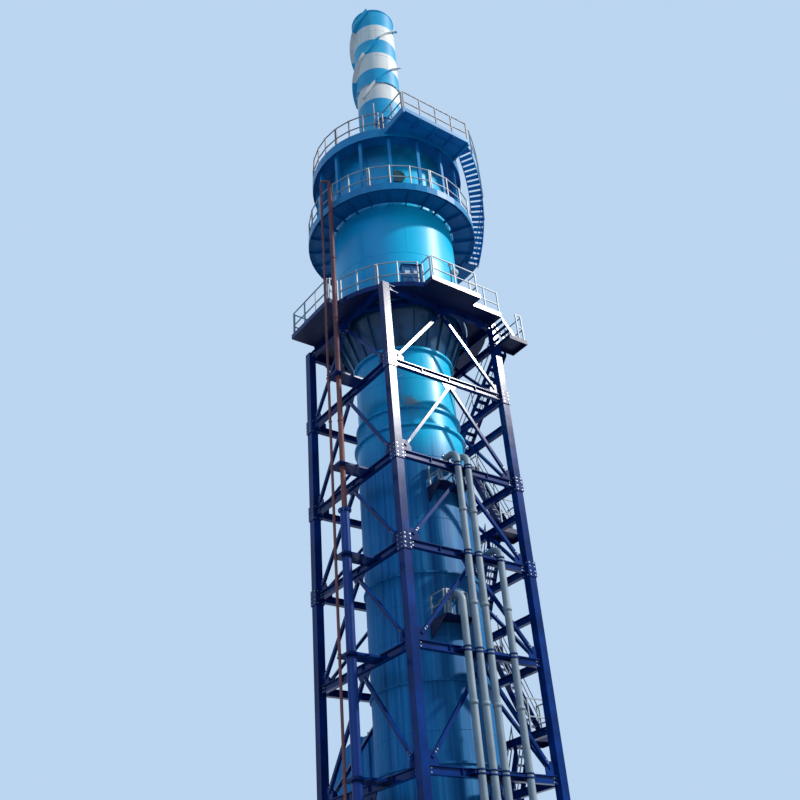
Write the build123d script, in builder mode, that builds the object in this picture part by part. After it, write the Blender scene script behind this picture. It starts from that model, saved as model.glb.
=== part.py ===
from build123d import *
from math import atan2, ceil, cos, degrees, hypot, pi, radians, sin, sqrt
import os

# Wet electrostatic precipitator tower as a 1:2 scale model: 1 mm here is 2 mm on the real tower.
# The origin is the tower's axis at ground level, on the underside of the absorber's base plate.
# +Z is up. The -Y side carries the spray pipes, the +X side the stairs, the +Y side the inlet duct.

# Frame of four columns
column_pitch = 3050
column_size = 170
base_plate_size = 400
base_plate_thickness = 30
anchor_spacing = 290
anchor_hole_radius = 13
collar_size = 206
collar_height = 330
beam_depth = 150
beam_width = 100
beam_web = 12
beam_flange = 14
brace_size = 64
gusset_thickness = 20
gusset_width = 420
gusset_height = 170
foot_gusset = 250
level_heights = (2200, 4350, 6450, 8350, 10250, 12400, 14350)
collared_levels = (8350, 10250, 12400)
corner_beam_circle = 1500
corner_beam_width = 80

# Absorber, neck and cone
shell_wall = 12
base_disc_overhang = 70
base_disc_thickness = 25
absorber_radius = 1150
absorber_top = 11410
stiffener_heights = (2500, 4620, 6055, 8125)
stiffener_depth = 35
stiffener_thickness = 40
neck_radius = 1090
neck_top = 13450
neck_ring_height = 11875
flange_depth = 62
flange_thickness = 50
cone_top_radius = 1455
rib_count = 24
rib_thickness = 12
rib_depth = 70
rib_end_gap = 10

# Electrostatic precipitator body
body_radius = 1500
body_wall = 12
seat_ring_inner = 1400
seat_ring_outer = 1560
seat_ring_thickness = 25
body_joint = 17275
manhole_radius = 150
manhole_reach = 90
manhole_root = 30
manhole_lid_radius = 185
manhole_lid_thickness = 30
manhole_height = 18150
manhole_azimuth = -118

# Decks, their edge plates and their railings
deck_thickness = 20
deck_sides = 48
edge_thickness = 8
toe_height = 100
rail_height = 700
rail_size = 22
post_size = 28
rail_gap = 12
rail_bay = 650
seat_gap = 0.3
deck_clearance = 12
top_deck_radius = 2025
front_bay_left = -700
front_bay_right = 650
front_bay_reach = 2200
left_bay_front = -400
left_bay_rear = 1200
left_bay_reach = 2225
corner_walk_reach = 300
corner_walk_width = 420
corner_walk_end = 1500
ring_deck_radius = 2075
ring_deck_top = 17375
ring_fascia = 100
ring_gap = 40
ring_bracket_count = 24
ring_bracket_depth = 90
ring_bracket_tip = 60
ring_bracket_thickness = 12
roof_radius = 1925
roof_underside = 19350
roof_skirt = 150
roof_post_count = 16
roof_post_size = 76
roof_post_radius = 1800
wing_left = -1150
wing_right = 900
wing_reach = 2350
wing_beam_width = 50
wing_beam_depth = 60
mast_radius = 18
mast_height = 1130
mast_circle = 1830
mast_azimuth = -133

# Stack
stack_radius = 600
stack_wall = 10
stack_joint = 22735
stack_top = 25900
stack_flange_reach = 34
stack_flange_thickness = 50
stack_rim_reach = 14
stack_rim_height = 40
strake_reach = 120
strake_thickness = 10
strake_pitch = 4800
strake_count = 3
strake_foot = 22240
strake_start = 22820
strake_azimuth = -126
chamber_radius = 200
chamber_height = 600
chamber_lid_reach = 25
chamber_lid_thickness = 25
chamber_circle = 1600
chamber_azimuth = -125
chamber_count = 4

# Spray pipes on the -Y side, as (x, height of the elbow)
spray_pipe_radius = 68
spray_pipe_stand_off = 102
spray_pipe_runs = ((-420, 7530), (-150, 10560), (110, 10560), (660, 8610))
spray_pipe_foot = 400
elbow_radius = 190
pipe_flange_radius = 115
pipe_flange_thickness = 28
guide_thickness = 40
guide_margin = 70
guided_levels = 5
pipe_clearance = 0.3

# Riser and its thin return pipe on the -X side
riser_x = -2150
riser_y = -550
riser_lower_radius = 90
riser_upper_radius = 54
riser_foot = 60
riser_change = 9300
riser_top = 17900
return_x = -2310
return_y = -415
return_radius = 28
return_rise = 110
return_bend = 60
riser_guide_margin = 60
riser_guided_levels = 6

# Inlet duct on the +Y side
duct_width = 600
duct_height = 900
duct_axis_height = 5350
duct_wall = 10
duct_run = 2250
duct_bend = 550
duct_foot = 3000
duct_flange_reach = 75
duct_flange_thickness = 30

# Helical stair from the roof wing down to the ring deck
helix_inner = 2095
helix_outer = 2405
helix_top_azimuth = -63
helix_bottom_azimuth = -12
helix_landing_end = 8
helix_landing_overlap = 1
helix_lead_in = 4
helix_risers = 22
tread_thickness = 14
helix_tread_depth = 110
stringer_thickness = 12
stringer_depth = 130
helix_stringer = 130
helix_rail_bays = 5
helix_post_lap = 1
post_foot = 60

# Stairs on the +X side
landing_tops = (13950, 11800, 9650, 7500, 5350, 3200, 1050)
flight_width = 300
flight_gap = 20
lane_gap = 20
flight_run = 950
top_landing_start = -1960
top_landing_end = -1450
top_landing_outer = 2150
near_landing_start = -830
near_landing_end = -380
far_landing_end = 950
landing_margin = 20
landing_side = 60
landing_frame = 110
tread_rise = 143
tread_depth = 120
flight_rail_height = 450
flight_posts = 3
flight_post_inset = 150
short_width = 290
short_rise = 100
short_tread = 80
short_foot = 110

# Service platforms on the absorber and the cabinet on the top deck
service_platforms = ((-125, 700, 9950), (-345, 620, 7160))
service_reach = 330
service_rail = 480
cabinet_width = 440
cabinet_depth = 200
cabinet_height = 720
cabinet_azimuth = -116
cabinet_circle = 1740

# Worked out from the sizes above
half_pitch = column_pitch / 2
frame_top = level_heights[-1] + beam_depth / 2
beam_face = half_pitch + beam_width / 2
frame_inside = half_pitch - beam_width / 2
web_face = half_pitch + beam_web / 2
column_face = half_pitch + column_size / 2
body_seat = frame_top + seat_ring_thickness
top_deck_level = frame_top + deck_thickness
roof_top = roof_underside + deck_thickness
pipe_y = -(beam_face + spray_pipe_stand_off)
inset = edge_thickness + post_size / sqrt(2)
walk_front = -(column_face + corner_walk_reach)
flat_ratio = cos(pi / deck_sides)
wing_corner_azimuth = degrees(atan2(-helix_outer, wing_right)) + helix_landing_overlap

os.makedirs("parts", exist_ok=True)


def finish(builder, name):
    """Labels a piece and writes it under its own name."""
    builder.part.label = name
    export_step(builder.part, f"parts/{name}.step")


def polar(radius, azimuth):
    """The point at this radius and azimuth in degrees."""
    return radius * cos(radians(azimuth)), radius * sin(radians(azimuth))


def tube(name, radius, wall, low, high):
    """A plain round shell between two heights."""
    with BuildPart() as shell:
        with BuildSketch(Plane.XY.offset(low)):
            Circle(radius)
            Circle(radius - wall, mode=Mode.SUBTRACT)
        extrude(amount=high - low)
    finish(shell, name)


# Columns: a square tube on its base plate, thicker at the spliced levels
for column_name, side_x, side_y in (
    ("column_front_left", -1, -1),
    ("column_front_right", 1, -1),
    ("column_rear_left", -1, 1),
    ("column_rear_right", 1, 1),
):
    foot = (side_x * half_pitch, side_y * half_pitch)
    with BuildPart() as column:
        with BuildSketch():
            with Locations(foot):
                Rectangle(base_plate_size, base_plate_size)
                with GridLocations(anchor_spacing, anchor_spacing, 2, 2):
                    Circle(anchor_hole_radius, mode=Mode.SUBTRACT)
        extrude(amount=base_plate_thickness)
        with BuildSketch(Plane.XY.offset(base_plate_thickness)):
            with Locations(foot):
                Rectangle(column_size, column_size)
        extrude(amount=frame_top - base_plate_thickness)
        for level in collared_levels:
            with BuildSketch(Plane.XY.offset(level - collar_height / 2)):
                with Locations(foot):
                    Rectangle(collar_size, collar_size)
            extrude(amount=collar_height)
    finish(column, column_name)


def beam_end(level):
    """Half the clear length of a beam between the columns at this level."""
    size = collar_size if level in collared_levels else column_size
    return half_pitch - size / 2


def side_frame(name, azimuth, extra_beams=()):
    """Beams and inverted V braces of one side of the frame."""
    outward = Plane(
        origin=(half_pitch * cos(radians(azimuth)), half_pitch * sin(radians(azimuth)), 0),
        x_dir=(-sin(radians(azimuth)), cos(radians(azimuth)), 0),
        z_dir=(cos(radians(azimuth)), sin(radians(azimuth)), 0),
    )
    floors = (base_plate_thickness - beam_depth / 2,) + level_heights[:-1]
    with BuildPart() as side:
        for level in level_heights + tuple(extra_beams):
            with BuildSketch(outward):
                with Locations((0, level)):
                    Rectangle(2 * beam_end(level), beam_depth)
            extrude(amount=beam_web / 2, both=True)
            with BuildSketch(outward):
                with Locations(
                    (0, level + beam_depth / 2 - beam_flange / 2),
                    (0, level - beam_depth / 2 + beam_flange / 2),
                ):
                    Rectangle(2 * beam_end(level), beam_flange)
            extrude(amount=beam_width / 2, both=True)
        for floor, level in zip(floors, level_heights):
            apex = level - beam_depth / 2 - gusset_height / 2
            heel = floor + beam_depth / 2 + foot_gusset / 2
            toe = half_pitch - column_size / 2 - foot_gusset / 2
            length = hypot(toe, apex - heel)
            lean = degrees(atan2(apex - heel, toe))
            with BuildSketch(outward):
                for hand in (-1, 1):
                    with Locations(Location((hand * toe / 2, (apex + heel) / 2), -hand * lean)):
                        Rectangle(length, brace_size)
            extrude(amount=brace_size / 2, both=True)
            with BuildSketch(outward):
                with Locations((0, level - beam_depth / 2 - gusset_height / 2)):
                    Trapezoid(gusset_width, gusset_height, 60, rotation=180)
                if floor in level_heights:
                    for hand in (-1, 1):
                        corner = (hand * beam_end(floor), floor + beam_depth / 2)
                        with BuildLine():
                            Polyline(
                                corner,
                                (corner[0] - hand * foot_gusset, corner[1]),
                                (corner[0] - hand * foot_gusset, corner[1] + foot_gusset / 2),
                                (corner[0] - hand * foot_gusset / 2, corner[1] + foot_gusset),
                                (corner[0], corner[1] + foot_gusset),
                                close=True,
                            )
                        make_face()
                else:
                    for hand in (-1, 1):
                        with Locations((hand * toe, heel)):
                            Rectangle(foot_gusset, foot_gusset)
            extrude(amount=gusset_thickness / 2, both=True)
    finish(side, name)


landing_beams = tuple(top - deck_thickness - beam_depth / 2 for top in landing_tops)
side_frame("side_frame_front", -90)
side_frame("side_frame_right", 0, landing_beams)
side_frame("side_frame_rear", 90)
side_frame("side_frame_left", 180)

# Corner beams under the precipitator's seat, level with the top beams
with BuildPart() as corner_beams:
    for azimuth in (45, 135, 225, 315):
        with BuildSketch(Plane.XY.offset(frame_top - beam_depth)):
            with Locations(Location(polar(corner_beam_circle, azimuth), azimuth)):
                Rectangle(corner_beam_width, column_pitch)
            Rectangle(2 * frame_inside, 2 * frame_inside, mode=Mode.INTERSECT)
        extrude(amount=beam_depth)
finish(corner_beams, "corner_beams")

# Absorber: base plate, shell with its stiffening rings, flanged neck and ribbed cone
with BuildPart() as base:
    Cylinder(
        absorber_radius + base_disc_overhang,
        base_disc_thickness,
        align=(Align.CENTER, Align.CENTER, Align.MIN),
    )
finish(base, "absorber_base")

with BuildPart() as absorber:
    with BuildSketch(Plane.XY.offset(base_disc_thickness)):
        Circle(absorber_radius)
        Circle(absorber_radius - shell_wall, mode=Mode.SUBTRACT)
    extrude(amount=absorber_top - base_disc_thickness)
    for height in stiffener_heights:
        with BuildSketch(Plane.XY.offset(height)):
            Circle(absorber_radius + stiffener_depth)
            Circle(absorber_radius - shell_wall / 2, mode=Mode.SUBTRACT)
        extrude(amount=stiffener_thickness)
    with BuildSketch(Plane.XZ.offset(-absorber_radius / 2)):
        with Locations((0, duct_axis_height)):
            Rectangle(duct_width - 2 * duct_wall, duct_height - 2 * duct_wall)
    extrude(amount=-absorber_radius, mode=Mode.SUBTRACT)
finish(absorber, "absorber_shell")

with BuildPart() as neck:
    with BuildSketch(Plane.XY.offset(absorber_top)):
        Circle(absorber_radius + flange_depth)
        Circle(neck_radius - shell_wall, mode=Mode.SUBTRACT)
    extrude(amount=flange_thickness)
    with BuildSketch(Plane.XY.offset(absorber_top)):
        Circle(neck_radius)
        Circle(neck_radius - shell_wall, mode=Mode.SUBTRACT)
    extrude(amount=neck_top - absorber_top)
    for height in (neck_ring_height, neck_top - flange_thickness):
        with BuildSketch(Plane.XY.offset(height)):
            Circle(neck_radius + flange_depth)
            Circle(neck_radius - shell_wall / 2, mode=Mode.SUBTRACT)
        extrude(amount=flange_thickness)
finish(neck, "absorber_neck")

cone_slope = (cone_top_radius - neck_radius) / (frame_top - neck_top)
rib_top = frame_top - beam_depth - rib_end_gap
rib_top_radius = neck_radius + cone_slope * (rib_top - neck_top)
with BuildPart() as cone:
    with BuildSketch(Plane.XZ):
        with BuildLine():
            Polyline(
                (neck_radius, neck_top),
                (cone_top_radius, frame_top),
                (cone_top_radius - shell_wall, frame_top),
                (neck_radius - shell_wall, neck_top),
                close=True,
            )
        make_face()
    revolve(axis=Axis.Z)
finish(cone, "cone_transition")

with BuildPart() as ribs:
    with BuildSketch(Plane.XZ) as rib_outline:
        with BuildLine():
            Polyline(
                (neck_radius, neck_top),
                (neck_radius + rib_depth / 2, neck_top),
                (rib_top_radius + rib_depth, rib_top),
                (rib_top_radius, rib_top),
                close=True,
            )
        make_face()
    rib = extrude(rib_outline.sketch, amount=rib_thickness / 2, both=True, mode=Mode.PRIVATE)
    with PolarLocations(0, rib_count, start_angle=180 / rib_count):
        add(rib)
finish(ribs, "cone_ribs")

# Precipitator body on its seat ring, in two shells that meet at the ring deck
with BuildPart() as seat:
    with BuildSketch(Plane.XY.offset(frame_top)):
        Circle(seat_ring_outer)
        Circle(seat_ring_inner, mode=Mode.SUBTRACT)
    extrude(amount=seat_ring_thickness)
finish(seat, "body_seat_ring")

tube("body_lower_shell", body_radius, body_wall, body_seat, body_joint)

manhole_plane = Plane(
    origin=(0, 0, manhole_height),
    x_dir=(-sin(radians(manhole_azimuth)), cos(radians(manhole_azimuth)), 0),
    z_dir=(cos(radians(manhole_azimuth)), sin(radians(manhole_azimuth)), 0),
)
tube("body_upper_shell", body_radius, body_wall, body_joint, roof_underside)

with BuildPart() as manhole:
    with BuildSketch(manhole_plane.offset(body_radius - manhole_root)):
        Circle(manhole_radius)
    extrude(amount=manhole_root + manhole_reach)
    with BuildSketch(manhole_plane.offset(body_radius + manhole_reach)):
        Circle(manhole_lid_radius)
    extrude(amount=manhole_lid_thickness)
    Cylinder(body_radius, 3 * roof_underside, mode=Mode.SUBTRACT)
finish(manhole, "body_manhole")


def plan_polygon(radius):
    """Corners of a many-sided deck edge, with a flat side towards each rail post bay."""
    return [polar(radius, 360 * (step + 0.5) / deck_sides) for step in range(deck_sides)]


def sector(inner, outer, start, end):
    """The part of a ring between two azimuths, as a flat face."""
    with BuildSketch(mode=Mode.PRIVATE) as piece:
        with BuildLine():
            Line(polar(inner, start), polar(outer, start))
            CenterArc((0, 0), outer, start, end - start)
            Line(polar(outer, end), polar(inner, end))
            CenterArc((0, 0), inner, start, end - start)
        make_face()
    return piece.sketch


def straight_panels(corners):
    """Splits a run at its corners into straight panels, with evenly spaced posts on each."""
    pull = post_size + rail_gap
    panels = []
    for number, (start, end) in enumerate(zip(corners, corners[1:])):
        length = hypot(end[0] - start[0], end[1] - start[1])
        along = ((end[0] - start[0]) / length, (end[1] - start[1]) / length)
        first = pull if number > 0 else 0
        last = length - (pull if number < len(corners) - 2 else 0)
        bays = ceil((last - first) / rail_bay)
        places = [first + (last - first) * bay / bays for bay in range(bays + 1)]
        panels.append([(start[0] + along[0] * place, start[1] + along[1] * place) for place in places])
    return panels


def rail_panels(runs, low, height):
    """Posts and two rails along each run, standing on a deck; each run is one solid."""
    with BuildPart(mode=Mode.PRIVATE) as rails:
        with BuildSketch(Plane.XY.offset(low)):
            with Locations(*[point for run in runs for point in run]):
                Rectangle(post_size, post_size)
        extrude(amount=height)
        for level in (low + height / 2, low + height):
            with BuildSketch(Plane.XY.offset(level - rail_size)):
                for run in runs:
                    with BuildLine():
                        Polyline(*run)
                    trace(line_width=rail_size)
            extrude(amount=rail_size)
    return rails.part


def railing(name, runs, low):
    """All the railing panels of one deck."""
    with BuildPart() as rails:
        add(rail_panels(runs, low, rail_height))
    finish(rails, name)


def stepped_railing(name, runs, height):
    """Railing panels of several small decks, given as (deck height, corner points)."""
    with BuildPart() as rails:
        for low, points in runs:
            add(rail_panels(straight_panels(points), low, height))
    finish(rails, name)


def arc_runs(radius, start, end, panels, bays):
    """Points of railing panels along an arc, a small gap between one panel and the next."""
    gap = degrees((rail_gap + post_size) / radius)
    span = (end - start) / panels
    return [
        [
            polar(radius, start + span * panel + gap / 2 + (span - gap) * bay / bays)
            for bay in range(bays + 1)
        ]
        for panel in range(panels)
    ]


def deck_outline(radius, bays, margin):
    """Plan of a many-sided deck and its bays (left, right, front, rear), drawn in by a margin."""
    with BuildSketch(mode=Mode.PRIVATE) as outline:
        Polygon(*plan_polygon(radius - margin / flat_ratio), align=None)
        for left, right, front, rear in bays:
            with Locations(((left + right) / 2, (front + rear) / 2)):
                Rectangle(right - left - 2 * margin, rear - front - 2 * margin)
    return outline.sketch


def edge_plate(radius, bays, low, high):
    """The upright plate that closes a deck along its outline."""
    with BuildPart(mode=Mode.PRIVATE) as plate:
        with BuildSketch(Plane.XY.offset(low)):
            add(deck_outline(radius, bays, 0))
            add(deck_outline(radius, bays, edge_thickness), mode=Mode.SUBTRACT)
        extrude(amount=high - low)
    return plate.part


def deck_plate(radius, bays, top):
    """The flat plate inside the edge plates of a deck."""
    with BuildPart(mode=Mode.PRIVATE) as plate:
        with BuildSketch(Plane.XY.offset(top - deck_thickness)):
            add(deck_outline(radius, bays, edge_thickness))
        extrude(amount=deck_thickness)
    return plate.part


# Top deck on the frame: a ring with a bay at the front, one at the left and a walk to the stairs
top_deck_bays = [
    (front_bay_left, front_bay_right, -front_bay_reach, 0),
    (-left_bay_reach, 0, left_bay_front, left_bay_rear),
    (0, corner_walk_end, walk_front, walk_front + corner_walk_width),
]
with BuildPart() as top_deck:
    add(deck_plate(top_deck_radius, top_deck_bays, top_deck_level))
    Cylinder(seat_ring_outer + deck_clearance, 3 * top_deck_level, mode=Mode.SUBTRACT)
finish(top_deck, "top_deck")

with BuildPart() as top_edge:
    add(edge_plate(top_deck_radius, top_deck_bays, frame_top, top_deck_level + toe_height))
    with Locations((corner_walk_end, walk_front + short_width / 2, top_deck_level + toe_height)):
        Box(2 * inset, short_width - 2 * edge_thickness, 2 * toe_height, mode=Mode.SUBTRACT)
finish(top_edge, "top_deck_edge")

# Ring deck around the body, with its edge plate, its brackets and the stair landing
helix_landing = sector(
    ring_deck_radius - ring_gap,
    helix_outer + stringer_thickness,
    helix_bottom_azimuth,
    helix_landing_end,
)
with BuildPart() as ring_deck:
    add(deck_plate(ring_deck_radius, [], ring_deck_top))
    with BuildSketch(Plane.XY.offset(ring_deck_top - deck_thickness)):
        add(helix_landing)
    extrude(amount=deck_thickness)
    Cylinder(body_radius + ring_gap, 3 * ring_deck_top, mode=Mode.SUBTRACT)
finish(ring_deck, "ring_deck")

with BuildPart() as ring_edge:
    add(edge_plate(ring_deck_radius, [], ring_deck_top - ring_fascia, ring_deck_top + toe_height))
    with BuildSketch(Plane.XY.offset(ring_deck_top - ring_fascia)):
        add(helix_landing)
    extrude(amount=ring_fascia + toe_height, mode=Mode.SUBTRACT)
finish(ring_edge, "ring_deck_edge")

bracket_top = ring_deck_top - deck_thickness
bracket_reach = (ring_deck_radius - edge_thickness) * flat_ratio - rail_gap
with BuildPart() as ring_brackets:
    with BuildSketch(Plane.XZ) as bracket_outline:
        with BuildLine():
            Polyline(
                (body_radius, bracket_top),
                (bracket_reach, bracket_top),
                (bracket_reach, bracket_top - ring_bracket_tip),
                (body_radius, bracket_top - ring_bracket_depth),
                close=True,
            )
        make_face()
    bracket = extrude(bracket_outline.sketch, amount=ring_bracket_thickness / 2, both=True, mode=Mode.PRIVATE)
    with PolarLocations(0, ring_bracket_count, start_angle=180 / ring_bracket_count):
        add(bracket)
finish(ring_brackets, "ring_deck_brackets")

# Roof deck over the body, with the wing that reaches out over the front
wing = [(wing_left, wing_right, -wing_reach, 0)]
stair_head = sector(
    helix_inner - stringer_thickness,
    helix_outer + stringer_thickness,
    wing_corner_azimuth,
    helix_top_azimuth,
)
with BuildPart() as roof:
    add(deck_plate(roof_radius, wing, roof_top))
    with BuildSketch(Plane.XY.offset(roof_underside)):
        add(stair_head)
    extrude(amount=deck_thickness)
    Cylinder(stack_radius - stack_wall, 3 * roof_top, mode=Mode.SUBTRACT)
finish(roof, "roof_deck")

stair_gap_low = -sqrt((helix_outer + stringer_thickness) ** 2 - (wing_right - edge_thickness) ** 2)
stair_gap_high = -sqrt((helix_inner - stringer_thickness) ** 2 - wing_right**2)
with BuildPart() as roof_edge:
    add(edge_plate(roof_radius, wing, roof_underside, roof_top + toe_height))
    add(edge_plate(roof_radius, [], roof_underside - roof_skirt, roof_underside))
    with Locations((wing_right, (stair_gap_low + stair_gap_high) / 2, roof_underside + toe_height)):
        Box(2 * inset, stair_gap_high - stair_gap_low, 2 * toe_height, mode=Mode.SUBTRACT)
    with BuildSketch(Plane.XY.offset(roof_underside - wing_beam_depth)):
        for x in (wing_left + wing_beam_width / 2, wing_right - wing_beam_width / 2):
            with Locations((x, -wing_reach / 2)):
                Rectangle(wing_beam_width, wing_reach)
        add(deck_outline(roof_radius, [], 0), mode=Mode.SUBTRACT)
    extrude(amount=wing_beam_depth)
finish(roof_edge, "roof_edge")

with BuildPart() as roof_posts:
    with BuildSketch(Plane.XY.offset(ring_deck_top)):
        with PolarLocations(roof_post_radius, roof_post_count, start_angle=180 / roof_post_count):
            Rectangle(roof_post_size, roof_post_size)
    extrude(amount=roof_underside - ring_deck_top)
finish(roof_posts, "roof_posts")

# Stack in two flanged lengths with helical strakes on the upper one
tube("stack_lower", stack_radius, stack_wall, roof_top, stack_joint)

with BuildPart() as stack_upper:
    with BuildSketch(Plane.XY.offset(stack_joint)):
        Circle(stack_radius + stack_flange_reach)
        Circle(stack_radius - stack_wall, mode=Mode.SUBTRACT)
    extrude(amount=stack_flange_thickness)
    with BuildSketch(Plane.XY.offset(stack_joint)):
        Circle(stack_radius)
        Circle(stack_radius - stack_wall, mode=Mode.SUBTRACT)
    extrude(amount=stack_top - stack_joint)
    with BuildSketch(Plane.XY.offset(stack_top - stack_rim_height)):
        Circle(stack_radius + stack_rim_reach)
        Circle(stack_radius - stack_wall / 2, mode=Mode.SUBTRACT)
    extrude(amount=stack_rim_height)
finish(stack_upper, "stack_upper")


def strake_set(low, high):
    """Strakes between two heights, each on the same helix around the stack."""
    turned = strake_azimuth + 360 * (low - strake_start) / strake_pitch
    with BuildPart(mode=Mode.PRIVATE) as strakes:
        with BuildLine() as strake_path:
            Helix(
                pitch=strake_pitch,
                height=high - low,
                radius=stack_radius + seat_gap + strake_reach / 2,
                center=(0, 0, low),
            )
        with BuildSketch(Plane(origin=strake_path.line @ 0, x_dir=(1, 0, 0), z_dir=strake_path.line % 0)):
            Rectangle(strake_reach, strake_thickness)
        strake = sweep(path=strake_path.line, is_frenet=True, mode=Mode.PRIVATE)
        with PolarLocations(0, strake_count, start_angle=turned):
            add(strake)
    return strakes.part


with BuildPart() as stack_strakes:
    add(strake_set(strake_foot, stack_joint - strake_thickness))
    add(strake_set(strake_start, stack_top - stack_rim_height - strake_thickness))
finish(stack_strakes, "stack_strakes")

# Spray pipes: each rises on the -Y side and turns into the absorber
for number, (pipe_x, elbow_height) in enumerate(spray_pipe_runs, start=1):
    with BuildPart() as spray_pipe:
        with BuildLine() as run:
            FilletPolyline(
                (pipe_x, pipe_y, spray_pipe_foot),
                (pipe_x, pipe_y, elbow_height),
                (pipe_x, -absorber_radius / 2, elbow_height),
                radius=elbow_radius,
            )
        with BuildSketch(Plane.XY.offset(spray_pipe_foot)):
            with Locations((pipe_x, pipe_y)):
                Circle(spray_pipe_radius)
        sweep(path=run.line)
        with BuildSketch(Plane.XY.offset(spray_pipe_foot)):
            with Locations((pipe_x, pipe_y)):
                Circle(pipe_flange_radius)
        extrude(amount=pipe_flange_thickness)
        Cylinder(absorber_radius, 3 * absorber_top, mode=Mode.SUBTRACT)
    finish(spray_pipe, f"spray_pipe_{number}")

with BuildPart() as guides:
    for level in level_heights[:guided_levels]:
        through = [x for x, top in spray_pipe_runs if top - elbow_radius > level + guide_thickness]
        guide_left = min(through) - spray_pipe_radius - guide_margin
        guide_right = max(through) + spray_pipe_radius + guide_margin
        with BuildSketch(Plane.XY.offset(level - guide_thickness / 2)):
            with Locations(((guide_left + guide_right) / 2, (pipe_y - web_face) / 2)):
                Rectangle(guide_right - guide_left, -pipe_y - web_face)
            with Locations(*[(x, pipe_y) for x in through]):
                Circle(spray_pipe_radius + pipe_clearance, mode=Mode.SUBTRACT)
        extrude(amount=guide_thickness)
finish(guides, "pipe_guides")

# Riser on the -X side: a wide lower length, a narrow upper one and a thin return pipe
with BuildPart() as riser_lower:
    with BuildSketch(Plane.XY.offset(riser_foot)):
        with Locations((riser_x, riser_y)):
            Circle(riser_lower_radius)
    extrude(amount=riser_change - riser_foot)
finish(riser_lower, "riser_lower")

with BuildPart() as riser_upper:
    with BuildSketch(Plane.XY.offset(riser_change)):
        with Locations((riser_x, riser_y)):
            Circle(riser_upper_radius)
    extrude(amount=riser_top - riser_change)
finish(riser_upper, "riser_upper")

with BuildPart() as return_pipe:
    with BuildLine() as return_run:
        FilletPolyline(
            (riser_x, riser_y, riser_top),
            (riser_x, riser_y, riser_top + return_rise),
            (return_x, return_y, riser_top + return_rise),
            (return_x, return_y, riser_foot),
            radius=return_bend,
        )
    with BuildSketch(Plane.XY.offset(riser_top)):
        with Locations((riser_x, riser_y)):
            Circle(return_radius)
    sweep(path=return_run.line)
finish(return_pipe, "return_pipe")

with BuildPart() as riser_guides:
    for level in level_heights[:riser_guided_levels]:
        bore = riser_lower_radius if level < riser_change else riser_upper_radius
        front = riser_y - riser_lower_radius - riser_guide_margin
        rear = return_y + return_radius + riser_guide_margin
        with BuildSketch(Plane.XY.offset(level - guide_thickness / 2)):
            with Locations(((return_x - web_face) / 2, (front + rear) / 2)):
                Rectangle(-web_face - return_x, rear - front)
            with Locations((riser_x, riser_y)):
                Circle(bore + pipe_clearance, mode=Mode.SUBTRACT)
            with Locations((return_x, return_y)):
                Circle(return_radius + pipe_clearance, mode=Mode.SUBTRACT)
        extrude(amount=guide_thickness)
finish(riser_guides, "riser_guides")

with BuildPart() as duct:
    with BuildLine() as duct_path:
        FilletPolyline(
            (0, 0, duct_axis_height),
            (0, duct_run + duct_bend, duct_axis_height),
            (0, duct_run + duct_bend, duct_foot),
            radius=duct_bend,
        )
    with BuildSketch(Plane.XZ) as duct_section:
        with Locations((0, duct_axis_height)):
            Rectangle(duct_width, duct_height)
    sweep(sections=duct_section.sketch, path=duct_path.wire())
    with BuildSketch(Plane.XY.offset(duct_foot)):
        with Locations((0, duct_run + duct_bend)):
            Rectangle(duct_width + 2 * duct_flange_reach, duct_height + 2 * duct_flange_reach)
    extrude(amount=duct_flange_thickness)
    with BuildSketch(Plane.XZ) as duct_bore:
        with Locations((0, duct_axis_height)):
            Rectangle(duct_width - 2 * duct_wall, duct_height - 2 * duct_wall)
    sweep(sections=duct_bore.sketch, path=duct_path.wire(), mode=Mode.SUBTRACT)
    Cylinder(absorber_radius, 3 * absorber_top, mode=Mode.SUBTRACT)
finish(duct, "inlet_duct")

# Insulator chambers that stand on the roof deck around the stack
with BuildPart() as chambers:
    with BuildSketch(Plane.XY.offset(roof_top)):
        with PolarLocations(chamber_circle, chamber_count, start_angle=chamber_azimuth):
            Circle(chamber_radius)
    extrude(amount=chamber_height)
    with BuildSketch(Plane.XY.offset(roof_top + chamber_height)):
        with PolarLocations(chamber_circle, chamber_count, start_angle=chamber_azimuth):
            Circle(chamber_radius + chamber_lid_reach)
    extrude(amount=chamber_lid_thickness)
finish(chambers, "insulator_chambers")

# Control cabinet on the top deck, by the body
with BuildPart() as cabinet:
    with BuildSketch(Plane.XY.offset(top_deck_level)):
        with Locations(Location(polar(cabinet_circle, cabinet_azimuth), cabinet_azimuth)):
            Rectangle(cabinet_depth, cabinet_width)
    extrude(amount=cabinet_height)
finish(cabinet, "control_cabinet")

# Railings of the top deck, from the stair walk round to the left bay and back
top_rail_radius = top_deck_radius * flat_ratio - inset


def azimuth_at(offset, radius):
    """Azimuth past an axis at which a circle of this radius stands off the axis by the offset."""
    return degrees(atan2(offset, sqrt(radius**2 - offset**2)))


def arc_gap(radius):
    """Azimuth between a corner and the centre of the first post of an arc beside it."""
    return degrees((rail_gap + post_size + inset) / radius)


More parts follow.
